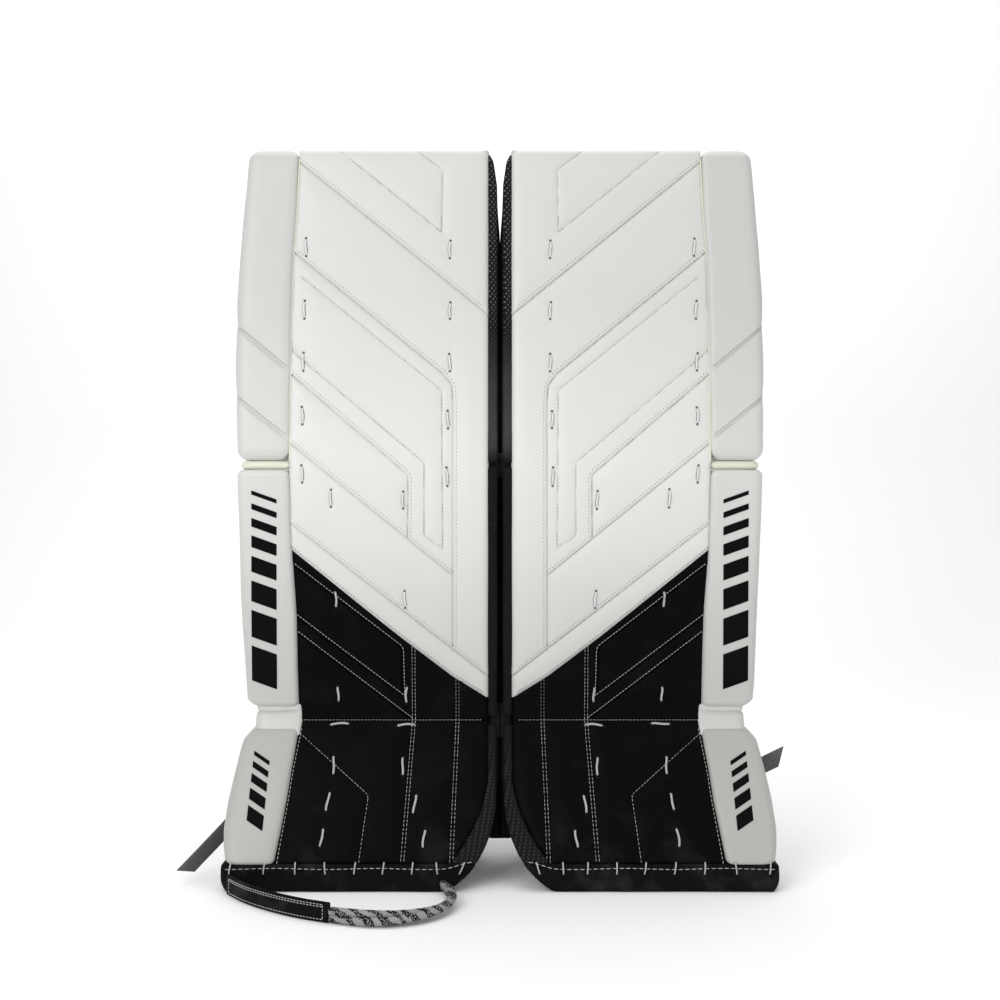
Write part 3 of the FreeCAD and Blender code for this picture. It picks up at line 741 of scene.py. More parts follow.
# ================================================================= quilted faces
class Quilting:
    """A quilted face of the pad: its outline and seams, and how far it stands off the skin."""

    def __init__(self, outline, seams, tucks, laces, rolled, base, puff, groove):
        self.outline = [tuple(p) for p in outline]
        self.seams = seams
        self.tucks = tucks
        self.laces = laces
        self.rolled = rolled
        self.base = base
        self.puff = puff
        self.groove = groove

    def lift(self, points, seed):
        """Height above the skin at (u, z) points."""
        ring = self.outline + [self.outline[0]]
        to_edge = line_distance(points, ring)
        to_seam = nearest(points, self.seams) if self.seams else np.full(len(points), 1.0)
        to_tuck = nearest(points, self.tucks) if self.tucks else np.full(len(points), 1.0)
        hollow = np.minimum(to_seam, to_edge)
        lift = self.base + self.puff * (1 - np.exp(-hollow / 0.010))
        lift -= self.groove * 1.15 * np.exp(-(to_seam / 0.00058) ** 2)
        lift -= self.puff * 0.60 * np.exp(-to_tuck / 0.0050)
        lift -= self.groove * 0.22 * np.exp(-(to_tuck / 0.0009) ** 2)
        lift += np.where(above_nearest(points, self.seams), 0.0011, -0.0003) * np.exp(-to_seam / 0.0040)
        if self.tucks:
            lift += np.where(above_nearest(points, self.tucks), -0.0005, 0.0009) * np.exp(-to_tuck / 0.0040)
        for u, z in self.laces:
            for end in (-0.5, 0.5):
                gap = np.hypot(points[:, 0] - u, points[:, 1] - z - end * LACE_LENGTH)
                lift -= 0.0011 * np.exp(-(gap / 0.0045) ** 2)
        lift += 0.00045 * wobble(points, 13.0, seed) + 0.00016 * wobble(points, 48.0, seed + 5)
        if self.rolled:
            radius = 0.0075
            to_rolled = np.minimum(nearest(points, self.rolled), radius)
            lift -= radius - np.sqrt(np.maximum(0.0, radius ** 2 - (radius - to_rolled) ** 2))
        return lift

    def surface(self, step, seed):
        """(u, y, z) rows and triangles of the face."""
        flat, faces = quilt(self.outline, self.seams + self.tucks, step, self.rolled)
        return skin_points(flat, self.lift(flat, seed)), faces

    def at(self, point, seed, extra=0.0):
        """(u, y, z) of one point on the face, raised by extra."""
        flat = np.array([point], float)
        return skin_points(flat, self.lift(flat, seed) + extra)[0]


def place(side, name, rows, faces, finish):
    """Object for one pad from (u, y, z) rows whose faces are drawn for the left pad."""
    if side == "right":
        faces = [list(f)[::-1] for f in faces]
    return new_object(side + "_" + name, to_world(rows, side), faces, finish)


def add_piece(side, name, points, faces, finish, body, slot, nodes=(), fill=None):
    """Place one piece of a pad with its faces outwards and hand it over; fill is not used."""
    obj = place(side, name, points, faces, finish_of(finish))
    face_outwards(obj)
    finish_piece(obj, body, nodes)


def thicken(obj, depth):
    """Gives a sheet a thickness, away from the side that it shows."""
    solid = obj.modifiers.new("thickness", "SOLIDIFY")
    solid.thickness = depth
    solid.offset = -1.0
    bake_modifiers(obj)


def line_between(line, low, high):
    """The part of a polyline, drawn upwards, between two heights."""
    zs = [p[1] for p in line]
    us = [p[0] for p in line]
    inner = [p for p in line if low < p[1] < high]
    return [(float(np.interp(low, zs, us)), low)] + inner + [(float(np.interp(high, zs, us)), high)]


def white_quilting():
    """The white face, from the colour line up to the top."""
    look = bpy.context.scene.leg_pad_looks
    seam = line_between(SEAM_LINE, COLOUR_LINE[0][1], TOP_Z)
    outline = list(COLOUR_LINE[::-1]) + seam + [(EDGE_U + 0.007, TOP_Z), (EDGE_U + 0.002, TOP_Z - 0.002),
                                                (EDGE_U, TOP_Z - 0.007)]
    rolled = [[(EDGE_U, 0.1), (EDGE_U, TOP_Z - 0.007), (EDGE_U + 0.007, TOP_Z), (0.24, TOP_Z)]]
    return Quilting(outline, CREASES, TUCKS, WHITE_LACES, rolled, 0.0012, look.puff, look.groove)


BOOT_SEAM = [(0.2377, BAND_Z), (0.2315, 0.0860), (0.2294, 0.1145), (0.2240, 0.1570), (0.2240, 0.1640)]


def dark_quilting():
    """The black face, from the toe band up to just under the edge of the white."""
    look = bpy.context.scene.leg_pad_looks
    seam = BOOT_SEAM + line_between(SEAM_LINE, 0.166, COLOUR_LINE[0][1])
    under = [(u, z + 0.004) for u, z in COLOUR_LINE]
    outline = [FACE_CORNER[-1]] + seam + under + FACE_CORNER[:-1]
    seams = list(DARK_SEAMS)
    for index in PAIRED_SEAMS:
        seams.append([(u - PAIR_GAP, z) for u, z in DARK_SEAMS[index]])
    rolled = [[(EDGE_U, 0.3)] + FACE_CORNER]
    laces = DARK_LACES + BOOT_LACES
    return Quilting(outline, seams, [], laces, rolled, 0.0, look.puff * 0.8, look.groove * 0.8)


def stitch_row(quilting, line, seed, pitch, size, shift=0.0, raised=0.0, fill=0.72):
    """Stitches along a line of a face, moved sideways by shift; positive shift is upwards."""
    points = resample(line, pitch)
    along = np.gradient(points, axis=0)
    along /= np.linalg.norm(along, axis=1)[:, None]
    across = np.column_stack([along[:, 1], -along[:, 0]])
    points = points + across * shift
    points = points[points[:, 0] > EDGE_U + 0.0045]
    slope = np.interp(points[:, 1], PROFILE_Z, PROFILE_SLOPE)
    rows = skin_points(points, quilting.lift(points, seed) + raised)
    parts = []
    for i in range(len(points) - 1):
        start = rows[i] + (rows[i + 1] - rows[i]) * (0.5 - fill / 2)
        end = rows[i] + (rows[i + 1] - rows[i]) * (0.5 + fill / 2)
        up = np.array([0.0, -1.0, slope[i]])
        parts.append(stitch_rod(start, end, up / np.linalg.norm(up), size, size))
    return joined(parts)


def build_white_face(side):
    """The quilted white face with its tone-on-tone stitching."""
    look = bpy.context.scene.leg_pad_looks
    seed = 3.0 if side == "right" else 11.0
    quilting = white_quilting()
    rows, faces = quilting.surface(look.face_step, seed)
    face = place(side, "white_face", rows, faces, finish_of("white"))
    thicken(face, 0.0020)
    finish_piece(face, knee_blend(side), [side + "_thigh_face"])
    pitch = look.stitch_pitch
    rows_of = [stitch_row(quilting, line, seed, pitch, STITCH, BESIDE_SEAM, fill=0.42) for line in CREASES]
    rows_of += [stitch_row(quilting, line, seed, pitch, 0.00036, 0.0, 0.0001, 0.36) for line in TUCKS]
    edge = [(u, z + BESIDE_SEAM) for u, z in COLOUR_LINE]
    rows_of.append(stitch_row(quilting, edge, seed, pitch, STITCH))
    add_piece(side, "white_face_thread", *joined(rows_of), "tone_thread", knee_blend(side), "lace")


def build_dark_face(side):
    """The black face of the shin and the boot with its white stitching."""
    look = bpy.context.scene.leg_pad_looks
    seed = 7.0 if side == "right" else 17.0
    quilting = dark_quilting()
    rows, faces = quilting.surface(look.face_step, seed)
    face = place(side, "dark_face", rows, faces, finish_of("black"))
    thicken(face, 0.0020)
    finish_piece(face, ankle_blend(side), [side + "_shin_face", side + "_boot_face"])
    parts = []
    for index, line in enumerate(quilting.seams):
        shift = 0.0026 if index in (0, 1, 2) else 0.0
        parts.append(stitch_row(quilting, line, seed, look.stitch_pitch, 0.00038, shift, 0.0012))
    parts.append(stitch_row(quilting, BOOT_SEAM[:4], seed, look.stitch_pitch, 0.00040, -0.0030))
    add_piece(side, "dark_face_thread", *joined(parts), "white_thread", ankle_blend(side), "lace")


# ================================================================= laces
RIBBON_TOP = ((-1.0, 0.25), (-0.96, 0.8), (-0.7, 1.0), (0.0, 1.0), (0.7, 1.0), (0.96, 0.8), (1.0, 0.25))
RIBBON_SECTION = list(RIBBON_TOP) + [(at, -height) for at, height in RIBBON_TOP[::-1]]


def ribbon(path, across, width, thickness):
    """Flat strap along (x, y, z) rows; returns points, faces and the along and across values."""
    path = np.asarray(path, float)
    along = np.gradient(path, axis=0)
    along /= np.linalg.norm(along, axis=1)[:, None]
    across = np.broadcast_to(np.asarray(across, float), path.shape)
    across = across - along * (across * along).sum(1)[:, None]
    across = across / np.linalg.norm(across, axis=1)[:, None]
    over = np.cross(along, across)
    travel = np.concatenate([[0], np.cumsum(np.linalg.norm(np.diff(path, axis=0), axis=1))])
    points = []
    values = []
    for i in range(len(path)):
        for at, height in RIBBON_SECTION:
            points.append(path[i] + across[i] * at * width / 2 + over[i] * height * thickness / 2)
            values.append((travel[i], at * width / 2))
    return np.array(points), ring_faces(len(path), len(RIBBON_SECTION)), np.array(values)


def strap_object(side, name, ribbon_skin):
    """Webbing strap from a ribbon's points, faces and values; its weave follows the values."""
    points, faces, values = ribbon_skin
    obj = place(side, name, points, faces, finish_of("webbing"))
    face_outwards(obj)
    for index, key in enumerate(("along", "across")):
        layer = obj.data.attributes.new(key, "FLOAT", "POINT")
        layer.data.foreach_set("value", values[:, index].astype(np.float32))
    return obj


def lace_path(quilting, u, z, seed, turn, length, lean=0.0):
    """Path of one lace stitch: out of its upper hole, over the leather and back in."""
    direction = np.array([math.sin(turn), math.cos(turn)])
    bow = np.array([direction[1], -direction[0]])
    rows = []
    for t in np.linspace(-1, 1, 13):
        point = np.array([u, z]) + direction * t * length / 2 + bow * 0.0006 * math.sin(t * 2.6 + lean * 30)
        rise = 0.0013 * (1 - t ** 4) - 0.0022 * max(0.0, abs(t) - 0.86) / 0.14
        rows.append(quilting.at(point, seed, rise))
    return np.array(rows)


def build_laces(side):
    """Every lace stitch of the face, with painted shade for the punched hole at each end and a painted shadow
    strip under it.
    """
    chance = random.Random(5 if side == "right" else 9)
    seed = 3.0 if side == "right" else 11.0
    dark_seed = 7.0 if side == "right" else 17.0
    groups = [
        ("thigh_laces", white_quilting(), [p for p in WHITE_LACES if p[1] > KNEE_Z], seed, "_thigh", 0.0),
        ("shin_laces", white_quilting(), [p for p in WHITE_LACES if p[1] < KNEE_Z], seed, "_shin", 0.0),
        ("low_shin_laces", dark_quilting(), DARK_LACES, dark_seed, "_shin", 0.0),
        ("boot_laces", dark_quilting(), BOOT_LACES, dark_seed, "_boot", 0.0),
        ("ankle_laces", dark_quilting(), FLAT_LACES, dark_seed, "_boot", math.pi / 2),
    ]
    replaced = {"thigh_laces": "thigh_lacing", "shin_laces": "shin_lacing", "boot_laces": "boot_lacing"}
    for name, quilting, spots, mark, body, turn in groups:
        parts = []
        painted_lace_shade = []
        for u, z in spots:
            lean = LACE_LEAN.get(u, 0.0) + chance.uniform(-0.05, 0.05)
            length = LACE_LENGTH * (1.25 if turn else chance.uniform(0.94, 1.06))
            path = lace_path(quilting, u, z, mark, turn - lean, length, lean)
            sideways = (1.0, 0.0, 0.0) if not turn else (0.0, 0.0, 1.0)
            parts.append(ribbon(path, sideways, LACE_WIDTH, LACE_THICKNESS)[:2])
            # Painted shadow: a dark strip laid on the leather under the lace stitch.
            shadow_strip_path = np.array([quilting.at((row[0], row[2]), mark, 0.0002) for row in path[1:-1]])
            painted_lace_shade.append(ribbon(shadow_strip_path, sideways, 0.0031, 0.0006)[:2])
            # Painted shade: a dark disc on the leather at each end of the lace, where it goes into its hole.
            for end, outward in ((path[0], -1), (path[-1], 1)):
                beyond = (path[-1] - path[0]) / length * 0.0011 * outward
                spot = quilting.at((end[0] + beyond[0], end[2] + beyond[2]), mark, 0.0)
                painted_lace_shade.append(tube(np.array([spot + (0, 0.0020, 0), spot + (0, -0.0006, 0)]), 0.0014, 12))
        dark = quilting.base == 0.0
        nodes = [side + "_" + replaced[name]] if name in replaced else ()
        add_piece(side, name, *joined(parts), "lace" if dark else "white_lace", side + body, "lace", nodes)
        painted_shade_key = "hole" if dark else "white_hole"
        add_piece(side, name + "_holes", *joined(painted_lace_shade), painted_shade_key, side + body, "lace")


# ================================================================= rolls
def cushion_section(count):
    """Closed rounded-square section from -1 to 1: squarer on its inner side than on its outer side."""
    turn = np.linspace(0, 2 * math.pi, 4000, endpoint=False)
    c = np.cos(turn)
    s = np.sin(turn)
    power = np.where(c < 0, 9.0, 4.6)
    reach = (np.abs(c) ** power + np.abs(s) ** power) ** (-1 / power)
    outline = np.column_stack([reach * c, reach * s])
    outline = np.vstack([outline, outline[:1]])
    at = np.concatenate([[0], np.cumsum(np.linalg.norm(np.diff(outline, axis=0), axis=1))])
    want = np.linspace(0, at[-1], count, endpoint=False)
    return np.column_stack([np.interp(want, at, outline[:, k]) for k in range(2)])


ROLL_SIDE = [(0.2745, 0.1770), (0.2845, 0.1880), (0.2950, 0.450), (0.2975, 0.560), (0.2965, 0.640),
             (0.2900, 0.760), (0.2870, TOP_Z)]
BOOT_SIDE = [(0.2900, BAND_Z), (0.2935, 0.045), (0.2950, 0.0600), (0.2935, 0.0850), (0.2864, 0.1390),
             (0.2850, 0.1450), (0.2745, 0.1580)]


class Roll:
    """A padded roll beside the face: a closed skin whose section follows its two side lines."""

    def __init__(self, low, high, inner, outer, creases, end_radius, seed, proud=ROLL_FRONT):
        self.proud = proud
        self.low = low
        self.high = high
        self.inner = inner
        self.outer = outer
        self.creases = creases
        self.end_radius = end_radius
        self.seed = seed

    def span(self, z):
        """Inner and outer u of the roll at each height."""
        inner = np.interp(z, [p[1] for p in self.inner], [p[0] for p in self.inner])
        outer = np.interp(z, [p[1] for p in self.outer], [p[0] for p in self.outer])
        return inner, outer

    def surface(self, step, count):
        """(u, y, z) rows and faces of the roll's skin."""
        radius = self.end_radius
        ends = np.array([0.0, 0.04, 0.12, 0.25, 0.42, 0.62, 0.82]) * radius
        middle = np.arange(self.low + radius, self.high - radius, step)
        heights = np.concatenate([self.low + ends, middle, (self.high - ends)[::-1]])
        unit = cushion_section(count)
        rows = []
        for z in heights:
            inset = max(0.0, radius - min(z - self.low, self.high - z))
            drop = radius - math.sqrt(max(0.0, radius ** 2 - inset ** 2))
            inner, outer = self.span(z)
            front = front_y(z) - self.proud
            half = ((outer - inner) / 2 - drop, (ROLL_BACK + self.proud) / 2 - drop)
            centre = ((outer + inner) / 2, front + (ROLL_BACK + self.proud) / 2)
            rows.append(np.column_stack([
                centre[0] + unit[:, 0] * half[0],
                centre[1] + unit[:, 1] * half[1],
                np.full(count, z),
            ]))
        points = np.vstack(rows)
        outward = np.tile(unit, (len(heights), 1))
        outward = np.column_stack([outward[:, 0] ** 3, outward[:, 1] ** 3])
        outward /= np.linalg.norm(outward, axis=1)[:, None]
        lift = self.dents(points)
        points[:, 0] += outward[:, 0] * lift
        points[:, 1] += outward[:, 1] * lift
        faces = wall_faces(len(heights), count)
        for ring, flip in ((0, True), (len(heights) - 1, False)):
            centre = points[ring * count:(ring + 1) * count].mean(0)
            points = np.vstack([points, centre])
            hub = len(points) - 1
            for k in range(count):
                m = (k + 1) % count
                face = [ring * count + k, ring * count + m, hub]
                faces.append(face[::-1] if flip else face)
        return points, faces

    def unrolled(self, points):
        """(u, z) of points as if the outer side were folded out flat beside the front."""
        inner, outer = self.span(points[:, 2])
        depth = points[:, 1] - front_y(points[:, 2]) + ROLL_FRONT
        past = np.clip(depth - 0.006, 0, None) * (points[:, 0] > (inner + outer) / 2)
        return np.column_stack([points[:, 0] + past, points[:, 2]])

    def dents(self, points):
        """Change of the skin along its normal: creases, fullness and small unevenness."""
        flat = self.unrolled(points)
        full = 0.0016 * np.sin(np.clip((points[:, 2] - self.low) / (self.high - self.low), 0, 1) * math.pi)
        uneven = 0.0009 * wobble(flat, 11.0, self.seed) + 0.0003 * wobble(flat, 42.0, self.seed + 3)
        lift = full + uneven
        if self.creases:
            gap = nearest(flat, self.creases)
            inner = self.span(points[:, 2])[0]
            fade = np.clip((points[:, 0] - inner - 0.001) / 0.006, 0.0, 1.0)
            lift -= fade * (0.0026 * np.exp(-(gap / 0.0013) ** 2) + 0.0014 * np.exp(-gap / 0.010))
        return lift

    def on_front(self, u, z, lift=0.0):
        """(u, y, z) of a point of the front of the roll."""
        inner, outer = self.span(z)
        across = (u - (inner + outer) / 2) / ((outer - inner) / 2)
        power = 9.0 if across < 0 else 4.6
        reach = max(0.0, 1 - min(0.999, abs(across)) ** power) ** (1 / power)
        half = (ROLL_BACK + ROLL_FRONT) / 2
        point = np.array([[u, front_y(z) - ROLL_FRONT + half - half * reach, z]])
        full = self.dents(point)[0]
        point[0, 1] -= full + lift
        return point[0]


def far_crease(line):
    """A crease of a roll continued round its outer side."""
    (u0, z0), (u1, z1) = line
    slope = (z0 - z1) / (u0 - u1)
    return [(0.400, z0 + slope * 0.012), (u0 + 0.006, z0 + slope * 0.006), (u0, z0), (u1, z1)]


ROLLS = {
    "thigh_roll": (SEAM_LINE, ROLL_SIDE, ROLL_CREASES, 0.013, {"right": 2.0, "left": 21.0}),
    "shin_roll": (SEAM_LINE, ROLL_SIDE, [], 0.007, {"right": 4.0, "left": 23.0}),
    "boot_roll": (BOOT_SEAM, BOOT_SIDE, [], 0.005, {"right": 6.0, "left": 27.0}),
}


def roll_shape(side, name):
    """One of the three rolls of a pad, between the heights of its CAD node."""
    inner, outer, creases, end_radius, seeds = ROLLS[name]
    low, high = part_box(side + "_" + name)
    top = TOP_Z - 0.001 if name == "thigh_roll" else high.z
    return Roll(low.z, top, inner, outer, [far_crease(line) for line in creases], end_radius, seeds[side])


def stripe(roll, corners):
    """A printed stripe on the front of a roll: a four-cornered film laid on the skin."""
    corners = np.asarray(corners, float)
    columns = 10
    lines = max(4, int(np.linalg.norm(corners[3] - corners[0]) / 0.004))
    points = []
    for i in range(lines + 1):
        t = i / lines
        for k in range(columns + 1):
            s = k / columns
            low = corners[0] * (1 - s) + corners[1] * s
            high = corners[3] * (1 - s) + corners[2] * s
            u, z = low * (1 - t) + high * t
            points.append(roll.on_front(u, z, 0.0005))
    width = columns + 1
    faces = []
    for i in range(lines):
        for k in range(columns):
            a = i * width + k
            faces.append([a, a + 1, a + width + 1, a + width])
    return np.array(points), faces


def speed_stripes(roll, side, name, body, low, middle, widths, gap):
    """A column of slanting bars, broad at one end and fine at the other."""
    parts = []
    z = low
    for height, width in widths:
        slant = 0.010
        left = middle - width / 2
        right = middle + width / 2
        corners = [(left, z), (right, z + slant), (right, z + height + slant), (left, z + height)]
        parts.append(stripe(roll, corners))
        z += height + gap
    points, faces = joined(parts)
    film = place(side, name, points, faces, finish_of("ink"))
    thicken(film, 0.0004)
    finish_piece(film, side + body)


def build_rolls(side):
    """The three rolls of a pad, their stitched seams and their printed bars."""
    look = bpy.context.scene.leg_pad_looks
    thigh = roll_shape(side, "thigh_roll")
    shin = roll_shape(side, "shin_roll")
    boot = roll_shape(side, "boot_roll")
    # The thigh and shin rolls and the boot roll use darker copies of the white leather as painted shade.
    pieces = (("thigh_roll", thigh, "white_roll", "_thigh"), ("shin_roll", shin, "white_roll", "_shin"),
              ("boot_roll", boot, "white_low", "_boot"))
    for name, shape, finish, body in pieces:
        add_piece(side, name + "_skin", *shape.surface(look.roll_step, look.roll_columns), finish,
                  side + body, "white_leather", [side + "_" + name], fill=0.8)
    forward = np.array([0.0, -1.0, 0.0])
    parts = []
    for line in ROLL_CREASES:
        spots = resample([(u, z + 0.0038) for u, z in line], look.stitch_pitch)
        for a, b in zip(spots, spots[1:]):
            start = thigh.on_front(*a)
            run = thigh.on_front(*b) - start
            parts.append(stitch_rod(start + run * 0.12, start + run * 0.84, forward, 0.0004, 0.0004))
    add_piece(side, "thigh_roll_thread", *joined(parts), "tone_thread", side + "_thigh", "lace")
    shin_bars = [(0.0390, 0.028), (0.0300, 0.028), (0.0230, 0.028), (0.0175, 0.028), (0.0130, 0.028),
                 (0.0095, 0.028), (0.0065, 0.028), (0.0045, 0.028)]
    speed_stripes(shin, side, "shin_bars", "_shin", 0.2000, 0.2625, shin_bars, 0.0098)
    boot_bars = [(0.0140, 0.018), (0.0105, 0.018), (0.0080, 0.018), (0.0058, 0.018), (0.0040, 0.018)]
    speed_stripes(boot, side, "boot_bars", "_boot", 0.0600, 0.2610, boot_bars, 0.0058)


def build_breaks(side):
    """The cream strip in the knee notch and the folded band at the ankle notch."""
    front = float(front_y(KNEE_Z))
    start_u = 0.2350
    bend_u = 0.2785
    end_u = 0.2870
    near = front + 0.0060
    route = [(start_u, near, KNEE_Z), (0.2600, front + 0.0050, KNEE_Z), (bend_u, near, KNEE_Z)]
    for k in range(1, 7):
        turn = k / 6 * math.pi / 2
        u = bend_u + (end_u - bend_u) * math.sin(turn)
        route.append((u, near + 0.009 * (1 - math.cos(turn)), KNEE_Z))
    route.append((end_u, front + 0.044, KNEE_Z))
    strip = tube(resample(route, 0.003), 0.0048, 16)
    add_piece(side, "knee_strip", *strip, "cream", knee_blend(side), "white_leather")
    creases = [[(0.215, ANKLE_Z + 0.0105), (0.250, ANKLE_Z + 0.0095), (0.40, ANKLE_Z + 0.0110)]]
    inner = [(0.2215, 0.1), (0.2215, 0.2)]
    outer = [(0.2745, 0.1), (0.2740, 0.2)]
    fold = Roll(ANKLE_Z - 0.0160, ANKLE_Z + 0.0200, inner, outer, creases, 0.004, 15.0, 0.0030)
    add_piece(side, "ankle_fold", *fold.surface(0.0009, 110), "white",
              ankle_blend(side), "white_leather", [side + "_ankle_band"], fill=0.5)
    zs = np.linspace(KNEE_Z + 0.004, TOP_Z - 0.012, 120)
    us = np.interp(zs, [p[1] for p in SEAM_LINE], [p[0] for p in SEAM_LINE])
    piping = tube(np.column_stack([us - 0.0004, front_y(zs) - 0.0014, zs]), 0.0010, 8)
    add_piece(side, "seam_piping", *piping, "cream", side + "_thigh", "white_leather")


# ================================================================= soft bodies made from the frame
def node_copy(node, name, finish):
    """Separate welded mesh of one CAD node."""
    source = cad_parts[node].data
    points = np.array([tuple(v.co) for v in source.vertices])
    obj = new_object(name, points, [list(p.vertices) for p in source.polygons], finish)
    work = bmesh.new()
    work.from_mesh(obj.data)
    bmesh.ops.remove_doubles(work, verts=work.verts, dist=0.00002)
    work.to_mesh(obj.data)
    work.free()
    return obj


def softened(node, name, finish, voxel, rounds=4, grow=0.0):
    """A CAD node with its edges rounded over; grow puts back what the rounding takes away."""
    obj = node_copy(node, name, finish_of(finish))
    remesh = obj.modifiers.new("remesh", "REMESH")
    remesh.mode = "VOXEL"
    remesh.voxel_size = voxel
    remesh.use_smooth_shade = True
    smooth = obj.modifiers.new("smooth", "SMOOTH")
    smooth.factor = 0.6
    smooth.iterations = rounds
    bake_modifiers(obj)
    if grow:
        set_coordinates(obj, coordinates(obj) + normals(obj) * grow)
    return obj


def mirrored_copy(obj, name):
    """The same piece for the other pad."""
    points = coordinates(obj)
    points[:, 0] = 2 * PAIR_X - points[:, 0]
    faces = [list(p.vertices)[::-1] for p in obj.data.polygons]
    return new_object(name, points, faces, obj.data.materials[0])


def inflated(node, name, finish, voxel, pressure, most):
    """A stuffed cushion: the CAD block as a cloth bag blown up by pressure, then rounded once."""
    obj = softened(node, name, finish, voxel, 3)
    rest = coordinates(obj)
    cloth = obj.modifiers.new("bag", "CLOTH")
    cloth.settings.quality = 4
    cloth.settings.mass = 0.2
    cloth.settings.tension_stiffness = 22
    cloth.settings.compression_stiffness = 22
    cloth.settings.bending_stiffness = 0.8
    cloth.settings.use_pressure = True
    cloth.settings.uniform_pressure_force = pressure
    cloth.settings.effector_weights.gravity = 0
    cloth.point_cache.frame_start = 1
    cloth.point_cache.frame_end = 20
    scene = bpy.context.scene
    for step in range(1, 21):
        scene.frame_set(step)
    bake_modifiers(obj)
    scene.frame_set(1)
    moved = coordinates(obj) - rest
    far = np.linalg.norm(moved, axis=1)
    moved *= np.minimum(1.0, most / np.maximum(far, 1e-9))[:, None]
    set_coordinates(obj, rest + moved)
    finer = obj.modifiers.new("finer", "SUBSURF")
    finer.levels = 1
    finer.render_levels = 1
    bake_modifiers(obj)
    obj.data.polygons.foreach_set("use_smooth", [True] * len(obj.data.polygons))
    return obj


def sewn_channels(obj, axis, spots, width, depth):
    """Presses straight sewn channels into a cushion, across the given axis."""
    points = coordinates(obj)
    out = normals(obj)
    sink = np.zeros(len(points))
    for spot in spots:
        sink = np.maximum(sink, np.exp(-((points[:, axis] - spot) / width) ** 2))
    set_coordinates(obj, points - out * (sink * depth)[:, None])


def thread_round(side, name, body, paths, ups, pitch, size, finish):
    """Stitches along (u, y, z) paths; ups gives the outward direction for each path."""
    parts = []
    for path, up in zip(paths, ups):
        spots = resample(path, pitch)
        for a, b in zip(spots, spots[1:]):
            run = b - a
            parts.append(stitch_rod(a + run * 0.12, a + run * 0.84, np.array(up, float), size, size))
    add_piece(side, name, *joined(parts), finish, side + body, "lace")


def u_span(node):
    """Smallest and largest distance of a CAD node of the right pad from the plane between the pads."""
    low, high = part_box(node)
    return PAIR_X - high.x, PAIR_X - low.x


def smooth_step(value, start, end):
    """0 before start, 1 after end and a soft change between them."""
    t = np.clip((value - start) / (end - start), 0, 1)
    return t * t * (3 - 2 * t)


def pressed_together(points, side):
    """Side panel points bulged at the rear so that the two pads rest against each other."""
    u = (points[:, 0] - PAIR_X) * SIDES[side]
    z = points[:, 2]
    depth = points[:, 1] - front_y(z)
    share = smooth_step(depth, 0.008, 0.024) * smooth_step(-u, -0.0125, -0.0060)
    share *= smooth_step(-z, 0.050 - TOP_Z, 0.110 - TOP_Z) * smooth_step(z, 0.085, 0.110)
    out = points.copy()
    out[:, 0] -= SIDES[side] * share * (u + 0.0001)
    return out


def gusset(side, name, middle, reach, body, across, depth, finish):
    """Soft strip that closes the break between two stiff panels.

    across and depth give its first and last distance from the mid-plane and behind the front skin.
    """
    columns = 60
    unit = cushion_section(columns)
    heights = np.linspace(middle - reach, middle + reach, 13)
    rows = []
    for z in heights:
        rows.append(np.column_stack([
            (across[0] + across[1]) / 2 + unit[:, 0] * (across[1] - across[0]) / 2,
            float(front_y(z)) + (depth[0] + depth[1]) / 2 + unit[:, 1] * (depth[1] - depth[0]) / 2,
            np.full(columns, z),
        ]))
    faces = ring_faces(len(heights), columns)
    add_piece(side, name, np.vstack(rows), faces, finish, body, "side_mesh", fill=0.4)


def boot_bolster(side):
    """Soft pad at the inner rear edge of the boot, which closes the gap between the two boots."""
    columns = 48
    unit = cushion_section(columns)
    low = 0.045
    high = ANKLE_Z - 0.006
    foot = 0.006
    rows = []
    rounded = low + foot * (1 - np.cos(np.linspace(0.15, math.pi / 2, 6)))
    heights = np.concatenate([rounded, np.linspace(low + 0.008, high, 24)])
    for z in heights:
        shrink = 1 - 0.45 * max(0.0, 1 - (z - low) / foot) ** 2
        half = 0.0103 * shrink
        depth = 0.012 * shrink
        middle = float(front_y(z)) + 0.036
        us = half - 0.0001 + unit[:, 0] * half
        rows.append(np.column_stack([us, middle + unit[:, 1] * depth, np.full(columns, z)]))
    points = np.vstack(rows)
    faces = ring_faces(len(heights), columns)
    add_piece(side, "boot_bolster", points, faces, "black", side + "_boot", "black_leather", fill=0.5)


